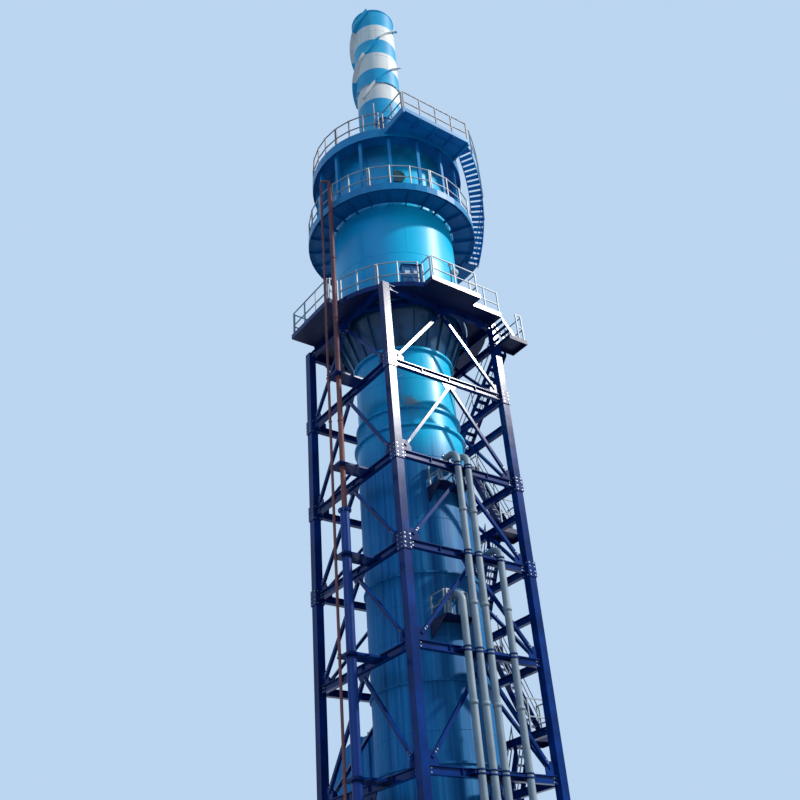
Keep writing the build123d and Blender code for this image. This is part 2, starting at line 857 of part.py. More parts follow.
front_left = -90 + azimuth_at(front_bay_left, top_rail_radius)
left_front = -180 - azimuth_at(left_bay_front, top_rail_radius)
left_rear = 180 - azimuth_at(left_bay_rear, top_rail_radius)
walk_end_azimuth = -90 + azimuth_at(corner_walk_end, top_rail_radius)
top_gap = arc_gap(top_rail_radius)
front_bay_edge = -front_bay_reach + inset
left_bay_edge = -left_bay_reach + inset
top_deck_corners = [
    [(front_bay_left + inset, -sqrt(top_rail_radius**2 - front_bay_left**2)),
     (front_bay_left + inset, front_bay_edge),
     (front_bay_right - inset, front_bay_edge),
     (front_bay_right - inset, walk_front + inset),
     (corner_walk_end - inset, walk_front + inset)],
    [(-sqrt(top_rail_radius**2 - left_bay_front**2), left_bay_front + inset),
     (left_bay_edge, left_bay_front + inset),
     (left_bay_edge, left_bay_rear - inset),
     (-sqrt(top_rail_radius**2 - left_bay_rear**2), left_bay_rear - inset)],
]
top_deck_runs = [panel for points in top_deck_corners for panel in straight_panels(points)]
top_deck_runs += arc_runs(top_rail_radius, left_front + top_gap, front_left - top_gap, panels=2, bays=2)
top_deck_runs += arc_runs(top_rail_radius, walk_end_azimuth + top_gap, left_rear - top_gap, panels=5, bays=3)
railing("top_deck_railing", top_deck_runs, top_deck_level)

# Railing of the ring deck, open where the helical stair arrives, and round the stair's landing
ring_rail_radius = ring_deck_radius * flat_ratio - inset
landing_rail_radius = helix_outer + stringer_thickness - inset
landing_rail_end = helix_landing_end - degrees(inset / ring_deck_radius)
ring_rail_gap = arc_gap(ring_rail_radius)
ring_runs = arc_runs(
    ring_rail_radius,
    helix_landing_end + ring_rail_gap / 2,
    helix_bottom_azimuth - ring_rail_gap / 2 + 360,
    panels=8,
    bays=3,
)
ring_runs += arc_runs(
    landing_rail_radius,
    helix_bottom_azimuth + ring_rail_gap / 2,
    landing_rail_end - ring_rail_gap / 2,
    panels=1,
    bays=2,
)
ring_runs += straight_panels([
    polar(landing_rail_radius, landing_rail_end),
    polar(ring_deck_radius + inset, landing_rail_end),
])
railing("ring_deck_railing", ring_runs, ring_deck_top)

# Railings of the roof deck and its wing, with one tall post
roof_rail_radius = roof_radius * flat_ratio - inset
roof_rail_gap = arc_gap(roof_rail_radius)
wing_edge = -wing_reach + inset
roof_runs = straight_panels([
    (wing_left + inset, -sqrt(roof_rail_radius**2 - wing_left**2)),
    (wing_left + inset, wing_edge),
    (wing_right - inset, wing_edge),
])
roof_start = -90 + azimuth_at(wing_right, roof_rail_radius) + roof_rail_gap
roof_end = 270 + azimuth_at(wing_left, roof_rail_radius) - roof_rail_gap
roof_runs += arc_runs(roof_rail_radius, roof_start, roof_end, panels=8, bays=3)
railing("roof_railing", roof_runs, roof_top)

with BuildPart() as mast:
    with BuildSketch(Plane.XY.offset(roof_top)):
        with Locations(polar(mast_circle, mast_azimuth)):
            Circle(mast_radius)
    extrude(amount=mast_height)
finish(mast, "roof_mast")

# Helical stair between two curved stringers
helix_drop = roof_top - ring_deck_top
helix_sweep = helix_top_azimuth - helix_bottom_azimuth
riser_height = helix_drop / helix_risers
helix_pitch = helix_drop * 360 / abs(helix_sweep)


def helical_bar(radius, width, height, lift):
    """A curved bar that follows the stair's slope, cut off square at both landings."""
    start = helix_bottom_azimuth + helix_lead_in
    rise = helix_drop + 2 * helix_lead_in * helix_drop / abs(helix_sweep)
    low = ring_deck_top - helix_lead_in * helix_drop / abs(helix_sweep) + lift
    with BuildPart(mode=Mode.PRIVATE) as bar:
        with BuildLine():
            curve = Helix(pitch=helix_pitch, height=rise, radius=radius, center=(0, 0, low), lefthand=True)
        with BuildSketch(Plane(origin=curve @ 0, x_dir=(1, 0, 0), z_dir=curve % 0)) as section:
            Rectangle(2 * width, height)
        sweep(sections=section.sketch, path=curve, is_frenet=True)
        with BuildSketch(Plane.XY.offset(low - height)) as ring:
            Circle(radius + width / 2)
            Circle(radius - width / 2, mode=Mode.SUBTRACT)
        extrude(ring.sketch, amount=rise + 2 * height, mode=Mode.INTERSECT)
    turned = bar.part.rotate(Axis.Z, start)
    for azimuth, keep in ((helix_bottom_azimuth, Keep.BOTTOM), (helix_top_azimuth, Keep.TOP)):
        cut = Plane(
            origin=(0, 0, 0),
            x_dir=(cos(radians(azimuth)), sin(radians(azimuth)), 0),
            z_dir=(-sin(radians(azimuth)), cos(radians(azimuth)), 0),
        )
        turned = split(turned, bisect_by=cut, keep=keep, mode=Mode.PRIVATE)
    return turned


for side_name, bar_radius in (
    ("helical_stringer_inner", helix_inner - stringer_thickness / 2),
    ("helical_stringer_outer", helix_outer + stringer_thickness / 2),
):
    with BuildPart() as helical_stringer:
        add(helical_bar(bar_radius, stringer_thickness, helix_stringer, (riser_height - helix_stringer) / 2))
    finish(helical_stringer, side_name)

tread_span = degrees(helix_tread_depth / helix_inner)
with BuildPart() as helical_treads:
    for step in range(1, helix_risers):
        level = roof_top - step * riser_height
        azimuth = helix_top_azimuth - helix_sweep * (step - 0.5) / (helix_risers - 1)
        with BuildSketch(Plane.XY.offset(level - tread_thickness)):
            add(sector(helix_inner + seat_gap, helix_outer - seat_gap,
                       azimuth - tread_span / 2, azimuth + tread_span / 2))
        extrude(amount=tread_thickness)
finish(helical_treads, "helical_treads")

# Railing of the helical stair: posts on the outer stringer and two curved rails
with BuildPart() as helical_railing:
    rail_radius = helix_outer + stringer_thickness + post_size / 2
    for lift in (rail_height / 2, rail_height):
        add(helical_bar(rail_radius, rail_size, rail_size, riser_height / 2 + lift - rail_size / 2))
    for bay in range(helix_rail_bays + 1):
        azimuth = helix_bottom_azimuth - helix_post_lap
        azimuth += (helix_sweep + 2 * helix_post_lap) * bay / helix_rail_bays
        climbed = (azimuth - helix_bottom_azimuth) / helix_sweep
        pitch_height = ring_deck_top + riser_height / 2 + helix_drop * climbed
        with BuildSketch(Plane.XY.offset(pitch_height - post_foot)):
            with Locations(Location(polar(rail_radius, azimuth), azimuth)):
                Rectangle(post_size, post_size)
        extrude(amount=rail_height + post_foot)
finish(helical_railing, "helical_railing")

# Stairs on the +X side: two lanes of steep flights between landings
stringer_end = stringer_depth * sqrt(2)
flight_foot = near_landing_end + flight_run
far_landing_start = flight_foot - stringer_end - landing_margin
lane_starts = (column_face + flight_gap, column_face + flight_gap + flight_width + lane_gap)
landing_inner = column_face + seat_gap
landing_outer = lane_starts[1] + flight_width + landing_side
landings = [(landing_tops[0], top_landing_start, top_landing_end, top_landing_outer)]
for index, top in enumerate(landing_tops[1:]):
    if index % 2 == 0:
        landings.append((top, far_landing_start, far_landing_end, landing_outer))
    else:
        landings.append((top, near_landing_start, near_landing_end, landing_outer))

with BuildPart() as stair_landings:
    for top, start, end, outer in landings:
        with BuildSketch(Plane.XY.offset(top - deck_thickness)):
            with Locations(((landing_inner + outer) / 2, (start + end) / 2)):
                Rectangle(outer - landing_inner, end - start)
            if start > -half_pitch:
                with Locations(((beam_face + landing_inner) / 2, (start + end) / 2)):
                    Rectangle(landing_inner - beam_face, end - start)
        extrude(amount=deck_thickness)
        with BuildSketch(Plane.XY.offset(top - landing_frame)):
            if start > -half_pitch:
                with Locations(((beam_face + landing_inner) / 2, (start + end) / 2)):
                    Rectangle(landing_inner - beam_face, end - start)
            with Locations(((landing_inner + outer) / 2, (start + end) / 2)):
                Rectangle(outer - landing_inner, end - start)
                Rectangle(
                    outer - landing_inner - 2 * stringer_thickness,
                    end - start - 2 * stringer_thickness,
                    mode=Mode.SUBTRACT,
                )
        extrude(amount=landing_frame - deck_thickness)
finish(stair_landings, "stair_landings")

flights = []
for index, (top, start, end, outer) in enumerate(landings):
    below = landings[index + 1][0] if index + 1 < len(landings) else 0
    heading = 1 if index % 2 == 0 else -1
    edge = end if heading == 1 else start
    run = flight_foot - edge if heading == 1 else flight_run
    flights.append((top, below, edge, heading, lane_starts[index % 2], (top - below) / run))


def flight_point(flight, drop):
    """The point (y, z) on a flight's pitch line, this far below its upper landing."""
    top, below, edge, heading, lane, slope = flight
    return edge + heading * drop / slope, top - drop


with BuildPart() as stair_stringers:
    for flight in flights:
        top, below, edge, heading, lane, slope = flight
        foot_y = flight_point(flight, top - below)[0]
        stringer_reach = stringer_depth * sqrt(1 + slope**2) / slope
        for offset in (0, flight_width - stringer_thickness):
            with BuildSketch(Plane.YZ.offset(lane + offset)):
                with BuildLine():
                    Polyline(
                        (edge, top),
                        (foot_y, below),
                        (foot_y - heading * stringer_reach, below),
                        (edge, top - stringer_reach * slope),
                        close=True,
                    )
                make_face()
            extrude(amount=stringer_thickness)
finish(stair_stringers, "stair_stringers")

with BuildPart() as stair_treads:
    for flight in flights:
        top, below, edge, heading, lane, slope = flight
        steps = round((top - below) / tread_rise)
        for step in range(1, steps):
            nosing, level = flight_point(flight, step * (top - below) / steps)
            with BuildSketch(Plane.XY.offset(level - tread_thickness)):
                with Locations((lane + flight_width / 2, nosing - heading * tread_depth / 2)):
                    Rectangle(flight_width - 2 * stringer_thickness, tread_depth)
            extrude(amount=tread_thickness)
finish(stair_treads, "stair_treads")

with BuildPart() as flight_rails:
    for flight in flights:
        top, below, edge, heading, lane, slope = flight
        drop = top - below
        rail_drop = rail_size * sqrt(1 + slope**2)
        for offset in (0, flight_width - stringer_thickness):
            with BuildSketch(Plane.YZ.offset(lane + offset)) as panel:
                for post in range(flight_posts):
                    foot_drop = flight_post_inset + (drop - 2 * flight_post_inset) * post / (flight_posts - 1)
                    y, z = flight_point(flight, foot_drop)
                    lean = heading * post_size * slope
                    with BuildLine():
                        Polyline(
                            (y, z),
                            (y + post_size, z - lean),
                            (y + post_size, z - lean + flight_rail_height),
                            (y, z + flight_rail_height),
                            close=True,
                        )
                    make_face()
                for height in (flight_rail_height / 2, flight_rail_height):
                    upper = flight_point(flight, flight_post_inset)
                    lower = flight_point(flight, drop - flight_post_inset)
                    with BuildLine():
                        Polyline(
                            (upper[0], upper[1] + height),
                            (lower[0], lower[1] + height),
                            (lower[0], lower[1] + height - rail_drop),
                            (upper[0], upper[1] + height - rail_drop),
                            close=True,
                        )
                    make_face()
            extrude(amount=stringer_thickness)
finish(flight_rails, "flight_railings")

# Landing railings on the outer side and the end of each landing
short_drop = top_deck_level - landing_tops[0]
short_steps = round(short_drop / short_rise)
landing_runs = []
for index, (top, start, end, outer) in enumerate(landings):
    heading = 1 if index % 2 == 0 else -1
    back = (start if heading == 1 else end) + heading * inset
    edge = (end if heading == 1 else start) - heading * inset
    points = [(landing_inner + 2 * inset, back), (outer - inset, back), (outer - inset, edge)]
    if index == 0:
        points[0] = (corner_walk_end + short_steps * short_tread + inset, back)
        points.append((lane_starts[0] + flight_width + 2 * inset, edge))
    landing_runs.append((top, points))
stepped_railing("landing_railings", landing_runs, rail_height)

# Short flight from the walk on the top deck down to the first landing
with BuildPart() as short_flight:
    for step in range(1, short_steps):
        level = top_deck_level - step * short_drop / short_steps
        with BuildSketch(Plane.XY.offset(level - tread_thickness)):
            with Locations((corner_walk_end + (step - 0.5) * short_tread, walk_front + short_width / 2)):
                Rectangle(short_tread, short_width - 2 * stringer_thickness)
        extrude(amount=tread_thickness)
    for y in (walk_front, walk_front + short_width - stringer_thickness):
        with BuildSketch(Plane.XZ.offset(-y)):
            with BuildLine():
                Polyline(
                    (corner_walk_end, top_deck_level),
                    (corner_walk_end + short_steps * short_tread, landing_tops[0]),
                    (corner_walk_end + short_steps * short_tread - short_foot, landing_tops[0]),
                    (corner_walk_end, top_deck_level - short_foot),
                    close=True,
                )
            make_face()
        extrude(amount=-stringer_thickness)
finish(short_flight, "short_flight")

# Service platforms on the absorber, with brackets and railings
service_runs = []
with BuildPart() as service_decks:
    for centre, width, top in service_platforms:
        with BuildSketch(Plane.XY.offset(top - deck_thickness)):
            with Locations((centre, -(absorber_radius + service_reach) / 2)):
                Rectangle(width, absorber_radius + service_reach)
            Circle(absorber_radius, mode=Mode.SUBTRACT)
        extrude(amount=deck_thickness)
        for hand in (-1, 1):
            arm_x = centre + hand * (width / 2 - ring_bracket_thickness)
            wall_y = -sqrt(absorber_radius**2 - arm_x**2)
            with BuildSketch(Plane.YZ.offset(arm_x)):
                with BuildLine():
                    Polyline(
                        (wall_y + shell_wall, top - deck_thickness),
                        (-(absorber_radius + service_reach), top - deck_thickness),
                        (wall_y + shell_wall, top - deck_thickness - service_reach),
                        close=True,
                    )
                make_face()
            extrude(amount=ring_bracket_thickness / 2, both=True)
        front = -(absorber_radius + service_reach) + inset
        left = centre - width / 2 + inset
        right = centre + width / 2 - inset
        crossing = [
            x for x, height in spray_pipe_runs
            if left < x < right and top < height - spray_pipe_radius < top + service_rail
        ]
        wall_gap = post_size + spray_pipe_radius / 2
        left_side = (left, -sqrt(absorber_radius**2 - left**2) - wall_gap)
        right_side = (right, -sqrt(absorber_radius**2 - right**2) - wall_gap)
        if crossing:
            gap = spray_pipe_radius + post_size
            service_runs.append((top, [left_side, (left, front), (min(crossing) - gap, front)]))
            service_runs.append((top, [(max(crossing) + gap, front), (right, front), right_side]))
        else:
            service_runs.append((top, [left_side, (left, front), (right, front), right_side]))
    Cylinder(absorber_radius, 3 * absorber_top, mode=Mode.SUBTRACT)
finish(service_decks, "service_platforms")

stepped_railing("service_railings", service_runs, service_rail)
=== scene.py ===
from functools import partialmethod
from itertools import product
from math import cos, pi, radians, sin, sqrt

import bpy
from mathutils import Matrix, Vector


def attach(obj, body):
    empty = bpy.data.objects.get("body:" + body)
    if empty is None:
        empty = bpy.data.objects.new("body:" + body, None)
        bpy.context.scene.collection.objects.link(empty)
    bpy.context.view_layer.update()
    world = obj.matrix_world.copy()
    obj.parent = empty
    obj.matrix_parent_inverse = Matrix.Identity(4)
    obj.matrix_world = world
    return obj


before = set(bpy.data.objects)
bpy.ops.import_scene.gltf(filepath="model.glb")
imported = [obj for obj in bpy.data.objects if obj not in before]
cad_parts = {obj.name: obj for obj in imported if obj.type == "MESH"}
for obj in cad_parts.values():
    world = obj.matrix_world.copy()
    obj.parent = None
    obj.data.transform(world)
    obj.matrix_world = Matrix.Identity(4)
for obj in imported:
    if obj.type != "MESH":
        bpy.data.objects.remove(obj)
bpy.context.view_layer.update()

# The tower stands on Z = 0 with its axis on the origin. All lengths are metres of the 1:2 model.
# -Y is the spray pipe side, +X the stair side, -X the riser side and +Y the duct side.

# Directions, and the two hands of anything that comes in pairs
UP = (0, 0, 1)
DOWN = (0, 0, -1)
TO_STAIRS = (1, 0, 0)
TO_DUCT = (0, 1, 0)
TO_PIPES = (0, -1, 0)
HANDS = (-1, 1)

# Camera, fitted to the photograph's column lines and levels; the azimuth is of its right side
IMAGE_SIZE = 800
FOCAL_PIXELS = 991
SENSOR_WIDTH = 36
CLIP_END = 1000
CAMERA_DISTANCE = 18.83
CAMERA_HEIGHT = 0.80
RIGHT_AZIMUTH = -38.26
PITCH = 32.48
ROLL = -4.89
YAW = -0.38

# Stage: floor, background and lamps
FLOOR_REACH = 400.0
FLOOR_UNSEEN = (0.26, 0.28, 0.31)
FLOOR_SEEN = (0.6, 0.65, 0.72)
BACKGROUND = (0.5, 0.67, 0.88)
SKY = (0.42, 0.7, 1.0)
SKY_STRENGTH = 0.45
LAMP_DISTANCE = 60
LAMPS = (
    # name, azimuth, elevation, strength, colour, angle across
    ("sun", -48.6, 35.5, 4.0, (1.0, 0.97, 0.92), 4.0),
    ("fill", -150, 25, 0.35, (0.6, 0.8, 1.0), 20),
)

# Where painted light, painted shade and weather show: the azimuth of the painted sunlit side,
# heights between which a change runs, and the rust
SUNNY_SIDE = -58
# Heights of the painted shade under the roof
ROOF_SHADE = (18.3, 19.1)
# Heights over which the lower absorber turns to painted shade and to a rougher finish without coat
ABSORBER_SHADE_AND_MATT = (11.4, 10.4)
CONE_SHADOW = (13.5, 14.4)
PRIMER_LIGHTER_BELOW = (13.4, 11.4)
RUST_SPOT = (-0.58, -0.92, 12.02)
RUST_HALO_SPOT = (-0.58, -0.92, 11.98)

# Frame of four columns, with beams on seven levels and under the stair landings
SIDES = {"front": -90, "right": 0, "rear": 90, "left": 180}
HALF_PITCH = 1.525
COLUMN_HALF = 0.085
COLLAR_HALF = 0.103
LEVELS = (2.2, 4.35, 6.45, 8.35, 10.25, 12.4, 14.35)
COLLARED = (8.35, 10.25, 12.4)
LANDING_TOPS = (13.95, 11.8, 9.65, 7.5, 5.35, 3.2, 1.05)
LANDING_BEAM_DROP = 0.095
BEAM_DEPTH = 0.15
BEAM_WIDTH = 0.1
BEAM_WEB = 0.012
BEAM_FLANGE = 0.014
BRACE_HALF = 0.032
GUSSET_HEIGHT = 0.17
FOOT_GUSSET = 0.25
BASE_PLATE = 0.03
ANCHOR_REACH = 0.145

# Bolts of the frame: distances from the column, from the beam's middle and along a brace
BEAM_BOLT_INSETS = (0.035, 0.085)
BEAM_BOLT_LIFTS = (-0.035, 0.035)
BRACE_BOLTS_HIGH = (0.10, 0.16)
BRACE_BOLTS_LOW = (0.17, 0.11)
COLLAR_BOLT_ROWS = (-0.13, -0.05, 0.05, 0.13)
COLLAR_BOLT_SHIFTS = (-0.06, 0.06)
STIFFENER_STATIONS = (-0.72, 0.0, 0.72)
STIFFENER_SETBACK = 0.006

# Vessel and stack
ABSORBER_RADIUS = 1.15
NECK_RADIUS = 1.09
BODY_RADIUS = 1.5
STACK_RADIUS = 0.6
WHITE_BANDS = ((25.235, 24.59), (24.025, 23.355), (22.735, 22.13))
VESSEL_BOLT_CIRCLES = (
    # radius, height, count, direction of the heads
    (1.185, 0.025, 32, UP),  # base disc
    (1.183, 11.46, 48, UP),  # joint of absorber and neck
    (1.183, 11.41, 48, DOWN),
    (1.122, 11.925, 48, UP),  # middle ring of the neck
    (1.122, 11.875, 48, DOWN),
    (1.122, 13.4, 48, DOWN),  # joint of neck and cone
    (1.53, 14.45, 60, UP),  # seat of the body
)
STACK_BOLT_CIRCLES = ((0.618, 22.785, 32, UP), (0.618, 22.735, 32, DOWN))
STACK_BOLT_START = 4
SHELL_SIDES = 96
SEAMS_PER_COURSE = 3
COURSES = (
    # shell, and for each course of its plates the foot, the head and the azimuth of one seam
    (NECK_RADIUS, ((11.93, 12.65, 75), (12.65, 13.4, 15))),
    (ABSORBER_RADIUS, ((7.55, 8.125, 20), (6.1, 6.9, 40), (5.2, 6.055, 100), (2.54, 3.6, 70))),
    (ABSORBER_RADIUS, ((8.17, 9.3, 85), (1.35, 2.5, 10), (9.3, 10.7, 55))),
    (BODY_RADIUS, ((17.38, 18.6, 65), (14.46, 15.85, 50), (15.85, 17.27, 5))),
)
GIRTH_SEAMS = (
    ("absorber", ABSORBER_RADIUS, (1.35, 3.6, 5.2, 6.9, 7.55, 9.3, 10.7)),
    ("neck", NECK_RADIUS, (12.65,)),
    ("body", BODY_RADIUS, (15.85, 18.6)),
    ("stack", STACK_RADIUS, (20.4, 21.6, 23.9, 25.0)),
)
MANHOLE_AZIMUTH = -118
MANHOLE_FACE = 1.62
MANHOLE_HEIGHT = 18.15
MANHOLE_BOLT_CIRCLE = 0.166

# Spray pipes, as x and the height of the elbow
PIPES = ((-0.42, 7.53), (-0.15, 10.56), (0.11, 10.56), (0.66, 8.61))
PIPE_Y = -1.677
PIPE_RADIUS = 0.068
PIPE_BEND = 0.19
PIPE_COUPLINGS = (3.35, 5.5, 7.35, 9.25)
NECK_FLANGE_Y = -1.34
NECK_BOLTS_Y = -1.358
NECK_BOLT_CIRCLE = 0.085
FOOT_BOLT_CIRCLE = 0.094
FOOT_FLANGE_TOP = 0.428

# Riser and return pipe, as x and y; the riser's radii below and above its change of width
RISER = (-2.15, -0.55)
RISER_CHANGE = 9.3
RISER_JOINT = 0.04
RISER_BOLT_CIRCLE = 0.112
RISER_WIDE = 0.09
RISER_NARROW = 0.054
RISER_BANDS = (11.3, 13.9, 15.6, 17.0)
RETURN = (-2.31, -0.415)
RETURN_RADIUS = 0.028
RETURN_BANDS = (3.3, 7.4, 11.3, 13.9, 16.2)

# Decks, roof and what stands on them
ROOF_UNDERSIDE = 19.35
RING_DECK_TOP = 17.375
TOP_DECK_TOP = 14.445
WING_BARS = (-0.64, -0.125, 0.39)
ROOF_POSTS = 16
ROOF_POST_START = 11.25
ROOF_POST_CIRCLE = 1.8
POST_PLATE = 0.012
POST_BOLT_SHIFT = 0.055
CHAMBERS = 4
CHAMBER_START = -125
CHAMBER_CIRCLE = 1.6
CHAMBER_RADIUS = 0.2
CHAMBER_LID_TOP = 19.995
CHAMBER_BANDS = (19.42, 19.72)
CABINET_AZIMUTH = -116
CABINET_CIRCLE = 1.74
CABINET_DEPTH = 0.2
LAMP_Y = -2.1
DECK_LAMPS = (
    # name, x, foot of the globe, radius
    ("deck_lamp", 0.05, 14.9, 0.09),
    ("deck_lamp_small", -0.07, 15.12, 0.045),
)
LAMP_POST = 0.022
LAMP_FOOT = 0.09

# Inlet duct: a level run, then a drop
DUCT_WIDTH = 0.6
DUCT_HEIGHT = 0.9
DUCT_AXIS = 5.35
DUCT_DROP_Y = 2.8
DUCT_RIB = 0.04
DUCT_RIB_PLATE = 0.012
RUN_RIBS = (1.35, 1.72, 2.05)
DROP_RIBS = (3.45, 3.9, 4.35)
DUCT_FLANGE_TOP = 3.03
DUCT_BOLT_STEP = 0.11
DUCT_BOLTS_X = 0.34
DUCT_BOLTS_Y = 0.49


def aim(azimuth):
    """The level direction at this azimuth."""
    return (cos(radians(azimuth)), sin(radians(azimuth)), 0)


def polar(radius, azimuth, height):
    """The point at this radius, azimuth and height."""
    return (radius * cos(radians(azimuth)), radius * sin(radians(azimuth)), height)


def moved(place, *steps):
    """A place moved along directions, each given with its distance."""
    for direction, distance in steps:
        place = tuple(at + part * distance for at, part in zip(place, direction))
    return place


def circle(centre, radius, count, facing=None, start=0, across=TO_STAIRS, along=TO_DUCT):
    """Evenly spaced spots round a centre; they face outward where no direction is given."""
    spots = []
    for step in range(count):
        azimuth = start + 360 * step / count
        ahead, aside, _ = aim(azimuth)
        place = moved(centre, (across, radius * ahead), (along, radius * aside))
        spots.append((place, facing or aim(azimuth)))
    return spots


# Shader expressions


# Sockets that Blender's nodes tell apart by number only
MIX_FACTOR, MIX_FIRST, MIX_SECOND, MIX_RESULT = 0, 6, 7, 2
RANDOM_LEAST, RANDOM_MOST = 2, 3


class Value:
    """A shader socket that takes part in plain arithmetic."""

    def __init__(self, tree, socket):
        self.tree = tree
        self.socket = socket

    def math(self, operation, *others, clamp=False):
        """Adds one Math node on this value and the others."""
        node = self.tree.nodes.new("ShaderNodeMath")
        node.operation = operation
        node.use_clamp = clamp
        for slot, value in zip(node.inputs, (self, *others)):
            feed(self.tree, slot, value)
        return Value(self.tree, node.outputs[0])

    __add__ = __radd__ = partialmethod(math, "ADD")
    __sub__ = partialmethod(math, "SUBTRACT")
    __mul__ = __rmul__ = partialmethod(math, "MULTIPLY")
    __truediv__ = partialmethod(math, "DIVIDE")
    __gt__ = partialmethod(math, "GREATER_THAN")
    __lt__ = partialmethod(math, "LESS_THAN")

    def __rsub__(self, other):
        return self * -1.0 + other

    def clamped(self):
        """The value held between 0 and 1."""
        return self.math("ADD", 0.0, clamp=True)

    def ramp(self, start, end):
        """0 at the start value, 1 at the end value, smooth between; either may be the higher."""
        node = self.tree.nodes.new("ShaderNodeMapRange")
        node.interpolation_type = "SMOOTHSTEP"
        feed(self.tree, node.inputs["Value"], self)
        feed(self.tree, node.inputs["From Min"], start)
        feed(self.tree, node.inputs["From Max"], end)
        return Value(self.tree, node.outputs["Result"])


def feed(tree, slot, value):
    """Links a value to a socket, or sets a plain number or colour on it."""
    if isinstance(value, Value):
        tree.links.new(value.socket, slot)
    elif isinstance(value, tuple) and len(value) == 3 and slot.type == "RGBA":
        slot.default_value = (*value, 1.0)
    else:
        slot.default_value = value


def add_node(tree, kind, settings=None, inputs=None):
    """Adds any node: its settings first, then its sockets. Gives its outputs by name."""
    node = tree.nodes.new(kind)
    for name, value in (settings or {}).items():
        setattr(node, name, value)
    for name, value in (inputs or {}).items():
        feed(tree, node.inputs[name], value)
    return {output.name: Value(tree, output) for output in node.outputs if output.enabled}


def seen_directly(tree):
    """1 for what the camera sees, also in gloss and glass, and 0 for light that falls on things."""
    path = add_node(tree, "ShaderNodeLightPath")
    return (path["Is Camera Ray"] + path["Is Glossy Ray"] + path["Is Transmission Ray"]).clamped()


class Tree:
    """A node tree under construction."""

    def node(self, kind, settings=None, inputs=None):
        """Adds any node to this tree."""
        return add_node(self.tree, kind, settings, inputs)


class Finish(Tree):
    """A node material under construction, with the patterns that the finishes share."""

    def __init__(self, name):
        self.material = bpy.data.materials.new(name)
        self.material.use_nodes = True
        self.tree = self.material.node_tree
        self.surface = self.tree.nodes["Principled BSDF"]
        self.place = self.node("ShaderNodeTexCoord")["Object"]
        split = self.node("ShaderNodeSeparateXYZ", inputs={"Vector": self.place})
        self.x = split["X"]
        self.y = split["Y"]
        self.z = split["Z"]

    def noise(self, scale, detail=3.0, roughness=0.55, place=None):
        """A noise from 0 to 1, on the object's own coordinates or on stretched ones."""
        inputs = {"Vector": place or self.place, "Scale": scale}
        inputs |= {"Detail": detail, "Roughness": roughness}
        return self.node("ShaderNodeTexNoise", inputs=inputs)["Fac"]

    def runs(self, level, upright, detail=4.0, roughness=0.55):
        """A noise of upright streaks, by its scale on the level and upright."""
        inputs = {"Vector": self.place, "Scale": (level, level, upright)}
        place = self.node("ShaderNodeMapping", inputs=inputs)["Vector"]
        return self.noise(1.0, detail, roughness, place)

    def mix(self, factor, first, second):
        """A colour between two colours."""
        node = self.tree.nodes.new("ShaderNodeMix")
        node.data_type = "RGBA"
        feed(self.tree, node.inputs[MIX_FACTOR], factor)
        feed(self.tree, node.inputs[MIX_FIRST], first)
        feed(self.tree, node.inputs[MIX_SECOND], second)
        return Value(self.tree, node.outputs[MIX_RESULT])

    def clouds(self, first, second, scale, detail=5.0, start=0.35, end=0.7):
        """Two tones of one finish in soft clouds."""
        return self.mix(self.noise(scale, detail).ramp(start, end), first, second)

    def shades(self, first, second, third):
        """Three tones of one paint in wide clouds and faint upright runs."""
        runs = self.runs(7.0, 0.18, detail=5.0)
        colour = self.clouds(first, second, 0.55, 4.0, 0.3)
        colour = self.mix(runs.ramp(0.55, 0.8) * 0.4, colour, third)
        return self.mix(runs.ramp(0.45, 0.2) * 0.3, colour, second)

    def grime(self, colour, dirt, amount):
        """A colour under uneven dust and rain dirt."""
        cloudy = self.noise(1.3, detail=5.0).ramp(0.42, 0.75)
        runs = self.runs(9.0, 0.35).ramp(0.5, 0.8)
        return self.mix((cloudy * 0.5 + runs * 0.6).clamped() * amount, colour, dirt)

    def patch(self, centre, size):
        """1 on a ragged patch round a spot, 0 away from it."""
        between = {0: self.place, 1: centre}
        offset = self.node("ShaderNodeVectorMath", {"operation": "DISTANCE"}, between)["Value"]
        ragged = (self.noise(7.0, detail=6.0) - 0.5) * size * 1.6
        return (offset + ragged).ramp(size, size * 0.35)

    def reach(self):
        """The distance from the tower's axis."""
        return (self.x * self.x + self.y * self.y).math("SQRT")

    def bump(self, height, strength, distance):
        """Feeds the surface normal from a height."""
        inputs = {"Height": height, "Strength": strength, "Distance": distance}
        self.set("Normal", self.node("ShaderNodeBump", inputs=inputs)["Normal"])

    def set(self, name, value):
        """Sets or links one socket of the surface."""
        feed(self.tree, self.surface.inputs[name], value)

    def done(self, slot, colour, roughness, specular=None):
        """The finished material, with the record's slot that it stands for."""
        self.set("Base Color", colour)
        self.set("Roughness", roughness)
        if specular is not None:
            self.set("Specular IOR Level", specular)
        self.material["slot"] = slot
        return self.material


# Finishes: each names its tones first, as linear red, green and blue


